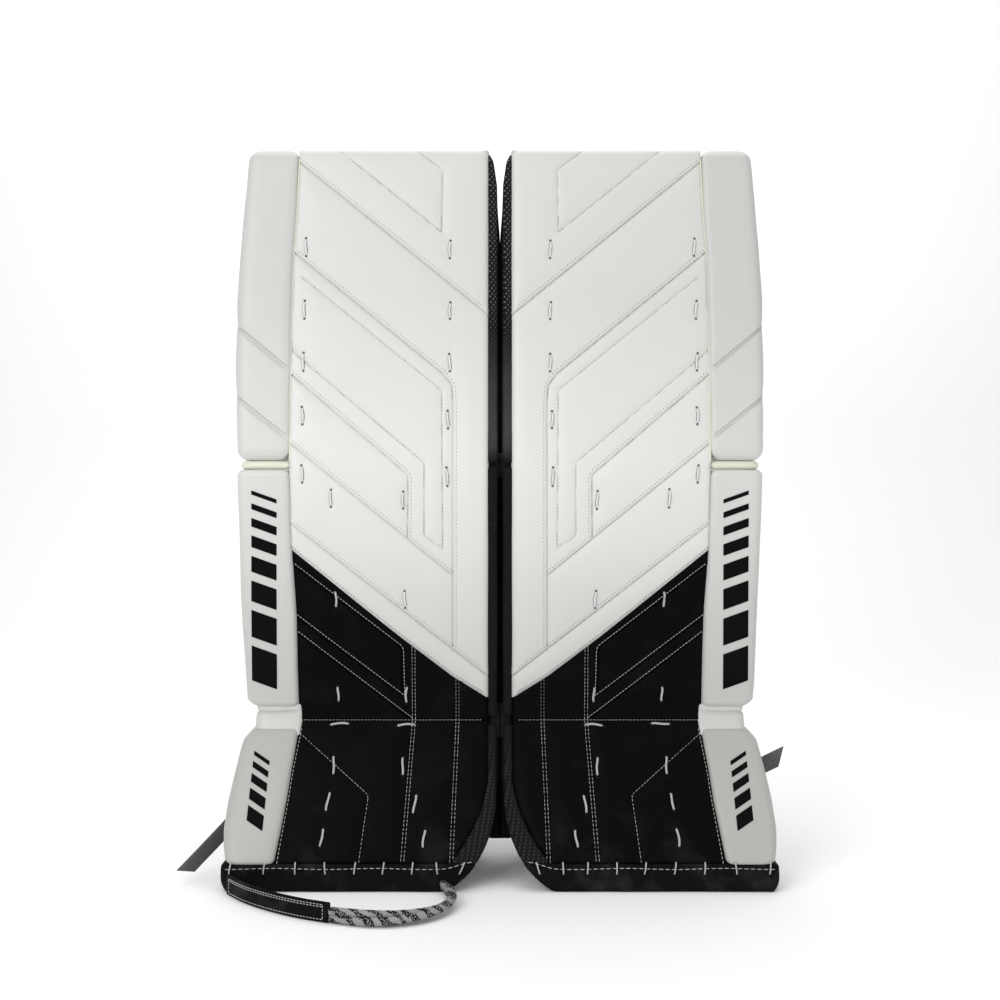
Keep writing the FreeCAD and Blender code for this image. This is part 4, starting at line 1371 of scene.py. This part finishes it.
def build_sides(side):
    """The inner side panels of knitted mesh and the foam cases behind the faces."""
    for name, body in (("thigh_side", "_thigh"), ("shin_side", "_shin"), ("boot_side", "_boot")):
        panel = softened(side + "_" + name, side + "_" + name + "_mesh", "mesh", 0.0022, 5, 0.0004)
        panel_points = coordinates(panel)
        dent = wobble(panel_points[:, 1:3], 16.0, 8.0)
        panel_points += normals(panel) * (0.0008 * dent)[:, None]
        set_coordinates(panel, pressed_together(panel_points, side))
        finish_piece(panel, side + body, [side + "_" + name])
    for name, body in (("thigh_core", "_thigh"), ("shin_core", "_shin"), ("boot_core", "_boot")):
        case = softened(side + "_" + name, side + "_" + name + "_case", "nylon", 0.0035, 4)
        finish_piece(case, side + body, [side + "_" + name])
    for name, middle, reach, body in (("knee", KNEE_Z, 0.014, knee_blend(side)),
                                      ("ankle", ANKLE_Z, 0.018, ankle_blend(side))):
        gusset(side, name + "_gusset", middle, reach, body, (-0.0001, 0.0139), (0.0065, 0.0405), "mesh")
        gusset(side, name + "_inner_fold", middle, reach, body, (0.0150, 0.2300), (0.0050, 0.0180), "nylon")
    boot_bolster(side)
    lengths = ((0.112, ANKLE_Z - 0.004, "_boot"), (ANKLE_Z + 0.004, KNEE_Z - 0.004, "_shin"),
               (KNEE_Z + 0.004, TOP_Z - 0.008, "_thigh"))
    for low, high, body in lengths:
        zs = np.linspace(low, high, 60)
        line = np.column_stack([np.full(60, EDGE_U + 0.0004), front_y(zs) + 0.0052, zs])
        add_piece(side, "edge_piping" + body, *tube(line, 0.0022, 8), "binding", side + body, "black_leather")


def build_binding(side):
    """The leather binding of the toe, its seams and the laces that cross its upper edge."""
    look = bpy.context.scene.leg_pad_looks
    binding = softened(side + "_toe_binding", side + "_toe_band", "binding", 0.0020, 5, 0.0006)
    points = coordinates(binding)
    uneven = wobble(points[:, [0, 2]], 22.0, 5.0) * 0.0009 + wobble(points[:, [0, 2]], 70.0, 2.0) * 0.0003
    front = np.clip(-normals(binding)[:, 1], 0, 1)
    out = points - np.array([0, 1, 0]) * (uneven * front)[:, None]
    tuck = np.clip((0.015 - out[:, 2]) / 0.015, 0, 1) ** 2
    outer = smooth_step((out[:, 0] - PAIR_X) * SIDES[side], 0.262, 0.292)
    out[:, 0] -= SIDES[side] * tuck * outer * 0.0055
    set_coordinates(binding, out)
    finish_piece(binding, side + "_boot", [side + "_toe_binding"])
    end = u_span("right_toe_binding")[1]
    face_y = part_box("right_toe_binding")[0].y - 0.0008
    top = BAND_Z - 0.0035
    us = np.linspace(0.0290, end - 0.004, 60)
    sag = 0.0012 * np.sin(us * 60.0)
    lift_end = 0.0065 * smooth_step(-us, -0.060, -0.029)
    line = np.column_stack([us, np.full(60, face_y + 0.0002), top + sag * 0.5 + lift_end])
    pitch = look.stitch_pitch * 1.7
    thread_round(side, "toe_thread", "_boot", [line], [(0, -1, 0.05)], pitch, STITCH, "white_thread")
    chance = random.Random(31 if side == "right" else 37)
    parts = []
    for u in (0.2829, 0.2472, 0.2146, 0.1835, 0.1522, 0.1224, 0.0919, 0.0662, 0.0400):
        rows = []
        lean = chance.uniform(-0.0012, 0.0012) - (0.0020 if u < 0.05 else 0.0)
        for t in np.linspace(-1, 1, 11):
            rise = 0.0016 * (1 - t ** 4)
            rows.append((u + lean * t, face_y - rise + 0.001 * abs(t), top + 0.0005 + 0.0062 * t))
        parts.append(ribbon(rows, (1.0, 0.0, 0.0), 0.0015, 0.0010)[:2])
    add_piece(side, "toe_cross_laces", *joined(parts), "lace", side + "_boot", "lace")


CUSHIONS = [
    ("thigh_liner", "_thigh", "knit", 0.0050, 2.0, 0.006, "knit_liner", 2, 5),
    ("leg_cradle", "_shin", "knit", 0.0050, 2.0, 0.006, "knit_liner", 2, 4),
    ("knee_stack", "_thigh", "nylon", 0.0045, 4.0, 0.008, "wrap_cover", 2, 1),
    ("knee_wing", "_knee_wing", "nylon", 0.0045, 4.0, 0.006, "wrap_cover", 2, 2),
    ("calf_wrap_outer", "_calf_wrap_outer", "nylon", 0.0045, 4.0, 0.006, "wrap_cover", 2, 4),
    ("calf_wrap_inner", "_calf_wrap_inner", "nylon", 0.0045, 4.0, 0.006, "wrap_cover", 2, 4),
]


def build_cushions():
    """Liners, leg channel, knee stack and the padded wraps, as blown-up bags with sewn channels."""
    for name, body, finish, voxel, pressure, most, slot, axis, count in CUSHIONS:
        node = "right_" + name
        bag = inflated(node, "right_" + name + "_bag", finish, voxel, pressure, most)
        low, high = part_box(node)
        spots = [low[axis] + (high[axis] - low[axis]) * (k + 1) / (count + 1) for k in range(count)]
        sewn_channels(bag, axis, spots, 0.0032, 0.0034)
        twin = mirrored_copy(bag, "left_" + name + "_bag")
        for side, obj in (("right", bag), ("left", twin)):
            finish_piece(obj, side + body, [side + "_" + name])


# ================================================================= straps

LEG_U = 0.128
CALF_CENTRE = (LEG_U, ANKLE_Y + 0.054)
KNEE_CENTRE = (LEG_U, ANKLE_Y + 0.061)
WRAP_RADIUS = 0.0997
WRAP_STRAP_WIDTH = 0.050
WRAP_STRAP_THICKNESS = 0.0026
BOOT_STRAP_WIDTH = 0.025
TAIL_WIDTH = 0.018
WEB_THICKNESS = 0.0024
SEWN_ARC = (128, 154)
SEWN_HALF = 0.020
CORD_STRAND_RADIUS = 0.0040
CORD_SIDES = 18


def arc_path(centre, radius, start, end, z, count=48):
    """(u, y, z) rows of an arc round the leg, angles in degrees from the inner side."""
    turn = np.radians(np.linspace(start, end, count))
    ys = centre[1] + radius * np.sin(turn)
    return np.column_stack([centre[0] - radius * np.cos(turn), ys, np.full(count, z)])


def wrap_strap(side, name, body, centre, start, z, nodes):
    """One hook-and-loop strap round a wrap, from an angle in degrees to its sewn end."""
    path = arc_path(centre, WRAP_RADIUS + 0.0006, start, 158, z)
    strap = strap_object(side, name, ribbon(path, (0, 0, 1), WRAP_STRAP_WIDTH, WRAP_STRAP_THICKNESS))
    finish_piece(strap, side + body, nodes)


def sewn_start(side, name, body, centre, z, ends):
    """Thread along the sewn part of a wrap strap; ends lists the rows that cross it."""
    sewn = arc_path(centre, WRAP_RADIUS + 0.0020, *SEWN_ARC, z, 14)
    lines = [sewn + np.array([0, 0, rise]) for rise in (-SEWN_HALF, SEWN_HALF)]
    for end in ends:
        lines.append(np.array([sewn[end] + (0, 0, -SEWN_HALF), sewn[end] + (0, 0, SEWN_HALF)]))
    outward = sewn[len(sewn) // 2] - np.array([centre[0], centre[1], z])
    outward /= np.linalg.norm(outward)
    thread_round(side, name, body, lines, [outward] * len(lines), 0.0036, STRAP_STITCH, "yarn_light")


def build_straps(side):
    """Hook-and-loop straps of the wraps and the webbing strap of the boot."""
    low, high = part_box("right_calf_strap")
    rises = {"a": low.z + WRAP_STRAP_WIDTH / 2, "b": high.z - WRAP_STRAP_WIDTH / 2}
    for mark, z in rises.items():
        nodes = [side + "_calf_strap"] if mark == "a" else ()
        wrap_strap(side, "calf_strap_" + mark, "_calf_wrap_outer", CALF_CENTRE, 52, z, nodes)
    for mark, z in rises.items():
        sewn_start(side, "calf_strap_thread_" + mark, "_calf_wrap_outer", CALF_CENTRE, z, (0, -1, 0))
    low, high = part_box("right_knee_strap")
    z = (low.z + high.z) / 2
    wrap_strap(side, "knee_strap_web", "_knee_wing", KNEE_CENTRE, 48, z, [side + "_knee_strap"])
    sewn_start(side, "knee_strap_thread", "_knee_wing", KNEE_CENTRE, z, ())

    low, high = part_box("right_boot_strap")
    start, end = u_span("right_boot_strap")
    z = (low.z + high.z) / 2
    inner_u = start + 0.0011
    outer_u = end - 0.0011
    rear = ANKLE_Y + 0.062
    rows = [(inner_u, low.y, z), (inner_u, rear, z)]
    sag = high.y - rear - 0.0012
    half = (outer_u - inner_u) / 2
    bend = (half ** 2 + sag ** 2) / (2 * sag)
    reach = math.asin(half / bend)
    for turn in np.linspace(-reach, reach, 40):
        rows.append((inner_u + half + bend * math.sin(turn), rear + sag - bend * (1 - math.cos(turn)), z))
    rows += [(outer_u, rear, z), (outer_u, ANKLE_Y + 0.0405, z)]
    path = resample(rows, 0.003)
    strap = strap_object(side, "boot_strap_web", ribbon(path, (0, 0, 1), BOOT_STRAP_WIDTH, WEB_THICKNESS))
    finish_piece(strap, side + "_boot", [side + "_boot_strap"])
    buckle = softened(side + "_boot_buckle", side + "_boot_buckle_frame", "plastic", 0.0007, 3, 0.0002)
    finish_piece(buckle, side + "_boot", [side + "_boot_buckle"])


def route_rows(route):
    """(u, y, z) rows in metres from a route in millimetres of the right pad."""
    return np.array([(-x / 1000, ANKLE_Y + y / 1000, z / 1000) for x, y, z in route])


def smooth_route(rows, step):
    """A route rounded at its corners, evenly spaced."""
    for _ in range(3):
        cut = [rows[0]]
        for a, b in zip(rows, rows[1:]):
            cut += [a * 0.75 + b * 0.25, a * 0.25 + b * 0.75]
        rows = np.array(cut + [rows[-1]])
    return resample(rows, step)


STRAP_END_ROUTES = {
    "right": [(-243, 28, 86), (-249, 14, 84), (-268, 8, 76), (-291, -2, 60), (-314, -26, 36),
              (-338, -56, 12)],
    "left": [(-243, 28, 86), (-249, 14, 88), (-268, 14, 96), (-292, 16, 108), (-317, 10, 122)],
}
TAB_ROUTES = {
    "right": [(-283, -97, 10.5), (-262, -124, 10.5), (-232, -150, 10.5), (-198, -172, 10.5),
              (-166, -186, 10.5)],
    "left": [(-206, -28, 10.5), (-210, -8, 10.5), (-205, 12, 10.5), (-193, 28, 10.5), (-176, 38, 10.5)],
}
CORD_ROUTES = {
    "right": [(-165, -186, 8.5), (-138, -196, 8.5), (-108, -198, 8.5), (-79, -188, 8.5), (-57, -167, 8.5),
              (-48, -139, 8.5), (-51, -114, 8.5), (-59, -94, 8.5)],
    "left": [(-175, 38, 8.5), (-154, 44, 8.5), (-132, 43, 8.5), (-113, 32, 8.5), (-101, 14, 8.5),
             (-98, -8, 8.5), (-104, -29, 8.5)],
}


def build_strap_end(side):
    """The loose end of the boot strap, cut at a slant."""
    path = smooth_route(route_rows(STRAP_END_ROUTES[side]), 0.003)
    points, faces, values = ribbon(path, (0, 0, 1), TAIL_WIDTH, WEB_THICKNESS)
    sides = len(RIBBON_SECTION)
    last = len(path) - 1
    end_along = (path[last] - path[last - 1]) / np.linalg.norm(path[last] - path[last - 1])
    for ring in range(last - 3, last + 1):
        share = (ring - last + 4) / 4
        for k in range(sides):
            index = ring * sides + k
            points[index] += end_along * (values[index][1] * 0.9 * share)
    strap = strap_object(side, "boot_strap_tail", (points, faces, values))
    finish_piece(strap, side + "_boot_strap_end", [side + "_boot_strap_end"])


def follow_nurbs(rows, name, samples):
    """Points in the row frame of a NURBS line through control rows."""
    data = bpy.data.curves.new(name, "CURVE")
    data.dimensions = "3D"
    spline = data.splines.new("NURBS")
    spline.points.add(len(rows) - 1)
    for point, row in zip(spline.points, rows):
        point.co = (row[0], row[1], row[2], 1.0)
    spline.order_u = 3
    spline.use_endpoint_u = True
    spline.resolution_u = samples
    obj = bpy.data.objects.new(name, data)
    bpy.context.scene.collection.objects.link(obj)
    graph = bpy.context.evaluated_depsgraph_get()
    mesh = bpy.data.meshes.new_from_object(obj.evaluated_get(graph))
    points = np.array([tuple(v.co) for v in mesh.vertices])
    bpy.data.objects.remove(obj)
    bpy.data.meshes.remove(mesh)
    return points


def line_frames(path):
    """Sideways and up directions at each point of a nearly level line."""
    along = np.gradient(path, axis=0)
    along /= np.linalg.norm(along, axis=1)[:, None]
    sideways = np.cross(along, (0, 0, 1.0))
    sideways /= np.linalg.norm(sideways, axis=1)[:, None]
    up = np.cross(sideways, along)
    return sideways, up


def build_toe_strap(side):
    """The leather tab and the plaited cord of the toe strap."""
    tab_path = smooth_route(route_rows(TAB_ROUTES[side]), 0.003)
    sideways = line_frames(tab_path)[0]
    if (sideways[len(sideways) // 2] @ np.array([0, -1.0, 0])) < 0:
        sideways = -sideways
    parts = []
    for shift, width in ((0.0012, 0.0200), (-0.0012, 0.0188)):
        parts.append(ribbon(tab_path + sideways * shift, (0, 0, 1), width, WEB_THICKNESS)[:2])
    add_piece(side, "toe_tab_leather", *joined(parts), "binding",
              side + "_toe_strap", "black_leather", [side + "_toe_tab"])
    inner = tab_path[2:-2]
    face = inner + sideways[2:-2] * 0.0026
    high = face + (0, 0, 0.0074)
    low = face - (0, 0, 0.0070)
    lines = [high, high - np.array([0, 0, 0.0020]), low]
    lines += [np.array([low[end], high[end]]) for end in (0, -1)]
    ups = [sideways[len(sideways) // 2]] * len(lines)
    thread_round(side, "toe_tab_thread", "_toe_strap", lines, ups, 0.0038, STRAP_STITCH, "white_thread")

    control = to_world(route_rows(CORD_ROUTES[side]), side)
    path = follow_nurbs(control, side + "_toe_cord_line", 16)
    run = float(np.linalg.norm(np.diff(path, axis=0), axis=1).sum())
    fine = resample(path, 0.0016)
    sideways, up = line_frames(fine)
    travel = np.linspace(0, run, len(fine))
    strands = []
    for strand in range(2):
        turn = math.pi * strand + travel / run * 1.1 * math.pi + 1.4
        apart = 0.0036 * (1 - 0.45 * smooth_step(travel, run * 0.45, run))
        line = fine + sideways * (apart * np.cos(turn))[:, None] + up * (apart * np.sin(turn))[:, None]
        made = tube(line, CORD_STRAND_RADIUS, CORD_SIDES, flatten=0.96)
        ring = np.repeat(np.arange(len(fine)), CORD_SIDES)
        around = np.tile(np.arange(CORD_SIDES) * 2 * math.pi / CORD_SIDES, len(fine))
        wales = np.sin(travel[ring] * 2 * math.pi / 0.0042 + around * 4)
        knit = wales * np.sin(around * 4.5 - travel[ring] * 700)
        centre = line[ring]
        fuzz = np.array([noise.noise(Vector(p) * 420.0) for p in made[0]])
        made[0][:] = centre + (made[0] - centre) * (1 + 0.06 * knit + 0.09 * fuzz)[:, None]
        strands.append(made)
    points, faces = joined(strands)
    cord = new_object(side + "_toe_cord_plait", points, faces, finish_of("cord_knit"))
    face_outwards(cord)
    finish_piece(cord, side + "_toe_strap", [side + "_toe_cord"])


# ================================================================= stage
def build_stage():
    """Pale studio sweep, soft lights and the camera."""
    look = bpy.context.scene.leg_pad_looks
    rows = [(-1.6, 0.0), (1.2, 0.0)]
    for k in range(1, 13):
        turn = k / 12 * math.pi / 2
        rows.append((1.2 + 0.6 * math.sin(turn), 0.6 * (1 - math.cos(turn))))
    rows.append((1.8, 3.2))
    points = []
    for y, z in rows:
        points += [(PAIR_X - 3.2, y, z), (PAIR_X + 3.2, y, z)]
    faces = [[2 * i, 2 * i + 1, 2 * i + 3, 2 * i + 2] for i in range(len(rows) - 1)]
    sweep = new_object("studio_sweep", points, faces, finish_of("paper"))
    lamps = (
        ("key_light", (-1.0, -1.5, 1.15), (0.0, 0.0, 0.45), 1.1, look.key_power),
        ("fill_light", (1.3, -1.6, 0.9), (0.0, 0.0, 0.40), 1.6, look.fill_power),
        ("top_light", (0.0, -0.1, 2.6), (0.0, 0.0, 0.42), 1.6, look.top_power),
        ("sweep_light", (0.0, 0.75, 2.4), (0.0, 1.9, 0.5), 2.4, look.sweep_power),
    )
    for name, spot, goal, size, power in lamps:
        aim = Vector((PAIR_X, ANKLE_Y, 0.0)) + Vector(goal)
        lamp = bpy.data.lights.new(name, "AREA")
        lamp.energy = power
        lamp.size = size
        obj = bpy.data.objects.new(name, lamp)
        obj.location = spot
        obj.rotation_euler = (aim - Vector(spot)).to_track_quat("-Z", "Y").to_euler()
        bpy.context.scene.collection.objects.link(obj)
    world = bpy.data.worlds.new("studio")
    world.use_nodes = True
    background = world.node_tree.nodes["Background"]
    background.inputs["Color"].default_value = (1.0, 1.0, 1.0, 1.0)
    background.inputs["Strength"].default_value = look.world_power
    scene = bpy.context.scene
    scene.world = world
    scene.view_settings.view_transform = "Standard"
    camera = bpy.data.cameras.new("camera")
    camera.lens = look.lens
    camera.sensor_width = 36.0
    eye = bpy.data.objects.new("camera", camera)
    eye.location = (PAIR_X, ANKLE_Y - look.camera_distance, look.camera_height)
    eye.rotation_euler = (math.pi / 2, 0.0, 0.0)
    scene.collection.objects.link(eye)
    scene.camera = eye


# ================================================================= add-on
class LegPadLooks(bpy.types.PropertyGroup):
    """Sizes and colours of the leg pads."""

    puff: bpy.props.FloatProperty(
        name="Puff", description="How far the quilting stands up between seams", default=0.0033,
        unit="LENGTH")
    groove: bpy.props.FloatProperty(
        name="Groove", description="Depth of a seam below the leather beside it", default=0.0019,
        unit="LENGTH")
    face_step: bpy.props.FloatProperty(
        name="Face step", description="Distance between points of a face", default=0.0036, unit="LENGTH")
    roll_step: bpy.props.FloatProperty(
        name="Roll step", description="Distance between rings of a roll", default=0.0015, unit="LENGTH")
    roll_columns: bpy.props.IntProperty(
        name="Roll columns", description="Points round a roll", default=112)
    stitch_pitch: bpy.props.FloatProperty(
        name="Stitch pitch", description="Distance from one stitch to the next", default=0.0040,
        unit="LENGTH")
    white: bpy.props.FloatVectorProperty(
        name="White leather", description="Colour of the white leather", default=(0.625, 0.622, 0.605),
        subtype="COLOR")
    # Painted shade: the white leather drawn darker for the boot roll.
    white_low: bpy.props.FloatVectorProperty(
        name="Low white leather", description="Colour of the boot roll", default=(0.47, 0.465, 0.445),
        subtype="COLOR")
    cream: bpy.props.FloatVectorProperty(
        name="Cream", description="Colour of the strip at the knee", default=(0.66, 0.67, 0.55),
        subtype="COLOR")
    black: bpy.props.FloatVectorProperty(
        name="Black leather", description="Colour of the black leather", default=(0.0018, 0.0018, 0.0021),
        subtype="COLOR")
    cloth: bpy.props.FloatVectorProperty(
        name="Black cloth", description="Colour of liners and wraps", default=(0.008, 0.008, 0.009),
        subtype="COLOR")
    webbing: bpy.props.FloatVectorProperty(
        name="Webbing", description="Colour of the straps", default=(0.15, 0.15, 0.152), subtype="COLOR")
    lace: bpy.props.FloatVectorProperty(
        name="Lace", description="Colour of the laces and white thread", default=(0.66, 0.66, 0.64),
        subtype="COLOR")
    tone_thread: bpy.props.FloatVectorProperty(
        name="Tone thread", description="Colour of the thread in the white leather",
        default=(0.36, 0.36, 0.345), subtype="COLOR")
    yarn: bpy.props.FloatVectorProperty(
        name="Yarn", description="Colour of the light yarn of the toe cord", default=(0.40, 0.40, 0.41),
        subtype="COLOR")
    paper: bpy.props.FloatVectorProperty(
        name="Paper", description="Colour of the studio sweep", default=(0.97, 0.97, 0.97), subtype="COLOR")
    key_power: bpy.props.FloatProperty(
        name="Key power", description="Power of the key light", default=17.0, unit="POWER")
    fill_power: bpy.props.FloatProperty(
        name="Fill power", description="Power of the fill light", default=8.0, unit="POWER")
    top_power: bpy.props.FloatProperty(
        name="Top power", description="Power of the top light", default=6.0, unit="POWER")
    sweep_power: bpy.props.FloatProperty(
        name="Sweep power", description="Power of the light on the studio sweep", default=26.0, unit="POWER")
    world_power: bpy.props.FloatProperty(
        name="World power", description="Strength of the white surroundings", default=0.50)
    lens: bpy.props.FloatProperty(
        name="Lens", description="Focal length of the camera in millimetres", default=45.0)
    camera_distance: bpy.props.FloatProperty(
        name="Camera distance", description="Distance from the camera to the pads", default=1.400,
        unit="LENGTH")
    camera_height: bpy.props.FloatProperty(
        name="Camera height", description="Height of the camera above the floor", default=0.411,
        unit="LENGTH")


def both(build):
    """Runs a builder for each pad."""
    for side in SIDES:
        build(side)
    return {"FINISHED"}


class LEGPADS_OT_white_faces(bpy.types.Operator):
    """Builds the quilted white faces"""
    bl_idname = "leg_pads.white_faces"
    bl_label = "White faces"

    def execute(self, context):
        return both(build_white_face)


class LEGPADS_OT_dark_faces(bpy.types.Operator):
    """Builds the black faces of the shins and boots"""
    bl_idname = "leg_pads.dark_faces"
    bl_label = "Dark faces"

    def execute(self, context):
        return both(build_dark_face)


class LEGPADS_OT_laces(bpy.types.Operator):
    """Threads the lace stitches through the faces"""
    bl_idname = "leg_pads.laces"
    bl_label = "Laces"

    def execute(self, context):
        return both(build_laces)


class LEGPADS_OT_rolls(bpy.types.Operator):
    """Builds the padded outer rolls and their printed bars"""
    bl_idname = "leg_pads.rolls"
    bl_label = "Outer rolls"

    def execute(self, context):
        return both(build_rolls)


class LEGPADS_OT_breaks(bpy.types.Operator):
    """Builds the knee strip and the ankle fold"""
    bl_idname = "leg_pads.breaks"
    bl_label = "Knee and ankle breaks"

    def execute(self, context):
        return both(build_breaks)


class LEGPADS_OT_sides(bpy.types.Operator):
    """Builds the mesh side panels and the cases of the foam cores"""
    bl_idname = "leg_pads.sides"
    bl_label = "Sides and cases"

    def execute(self, context):
        return both(build_sides)


class LEGPADS_OT_bindings(bpy.types.Operator):
    """Builds the toe bindings with their thread and laces"""
    bl_idname = "leg_pads.bindings"
    bl_label = "Toe bindings"

    def execute(self, context):
        return both(build_binding)


class LEGPADS_OT_cushions(bpy.types.Operator):
    """Blows up the liners, the leg channels, the knee stacks and the wraps"""
    bl_idname = "leg_pads.cushions"
    bl_label = "Liners and wraps"

    def execute(self, context):
        build_cushions()
        return {"FINISHED"}


class LEGPADS_OT_straps(bpy.types.Operator):
    """Builds the straps of the wraps and boots, their buckles and their loose ends"""
    bl_idname = "leg_pads.straps"
    bl_label = "Straps and buckles"

    def execute(self, context):
        both(build_straps)
        return both(build_strap_end)


class LEGPADS_OT_toe_straps(bpy.types.Operator):
    """Builds the toe tabs and toe cords"""
    bl_idname = "leg_pads.toe_straps"
    bl_label = "Toe straps"

    def execute(self, context):
        return both(build_toe_strap)


class LEGPADS_OT_stage(bpy.types.Operator):
    """Sets up the sweep, the lights and the camera"""
    bl_idname = "leg_pads.stage"
    bl_label = "Stage"

    def execute(self, context):
        build_stage()
        return {"FINISHED"}


OPERATORS = (
    LEGPADS_OT_white_faces,
    LEGPADS_OT_dark_faces,
    LEGPADS_OT_laces,
    LEGPADS_OT_rolls,
    LEGPADS_OT_breaks,
    LEGPADS_OT_sides,
    LEGPADS_OT_bindings,
    LEGPADS_OT_cushions,
    LEGPADS_OT_straps,
    LEGPADS_OT_toe_straps,
    LEGPADS_OT_stage,
)


class LEGPADS_PT_panel(bpy.types.Panel):
    """Lists the pieces of the leg pads and their sizes and colours"""
    bl_idname = "LEGPADS_PT_panel"
    bl_label = "Leg Pads"
    bl_space_type = "VIEW_3D"
    bl_region_type = "UI"
    bl_category = "Leg Pads"

    def draw(self, context):
        column = self.layout.column(align=True)
        for operator in OPERATORS:
            column.operator(operator.bl_idname)
        looks = context.scene.leg_pad_looks
        sizes = self.layout.column()
        for key in looks.bl_rna.properties.keys():
            if key not in ("rna_type", "name"):
                sizes.prop(looks, key)


def register():
    """Adds the classes and the scene's settings."""
    bpy.utils.register_class(LegPadLooks)
    bpy.types.Scene.leg_pad_looks = bpy.props.PointerProperty(type=LegPadLooks)
    for operator in OPERATORS:
        bpy.utils.register_class(operator)
    bpy.utils.register_class(LEGPADS_PT_panel)


def unregister():
    """Takes the classes and the scene's settings away again."""
    bpy.utils.unregister_class(LEGPADS_PT_panel)
    for operator in reversed(OPERATORS):
        bpy.utils.unregister_class(operator)
    del bpy.types.Scene.leg_pad_looks
    bpy.utils.unregister_class(LegPadLooks)


def main():
    """Builds every piece in order."""
    register()
    for operator in OPERATORS:
        group, name = operator.bl_idname.split(".")
        getattr(getattr(bpy.ops, group), name)()


if __name__ == "__main__":
    main()
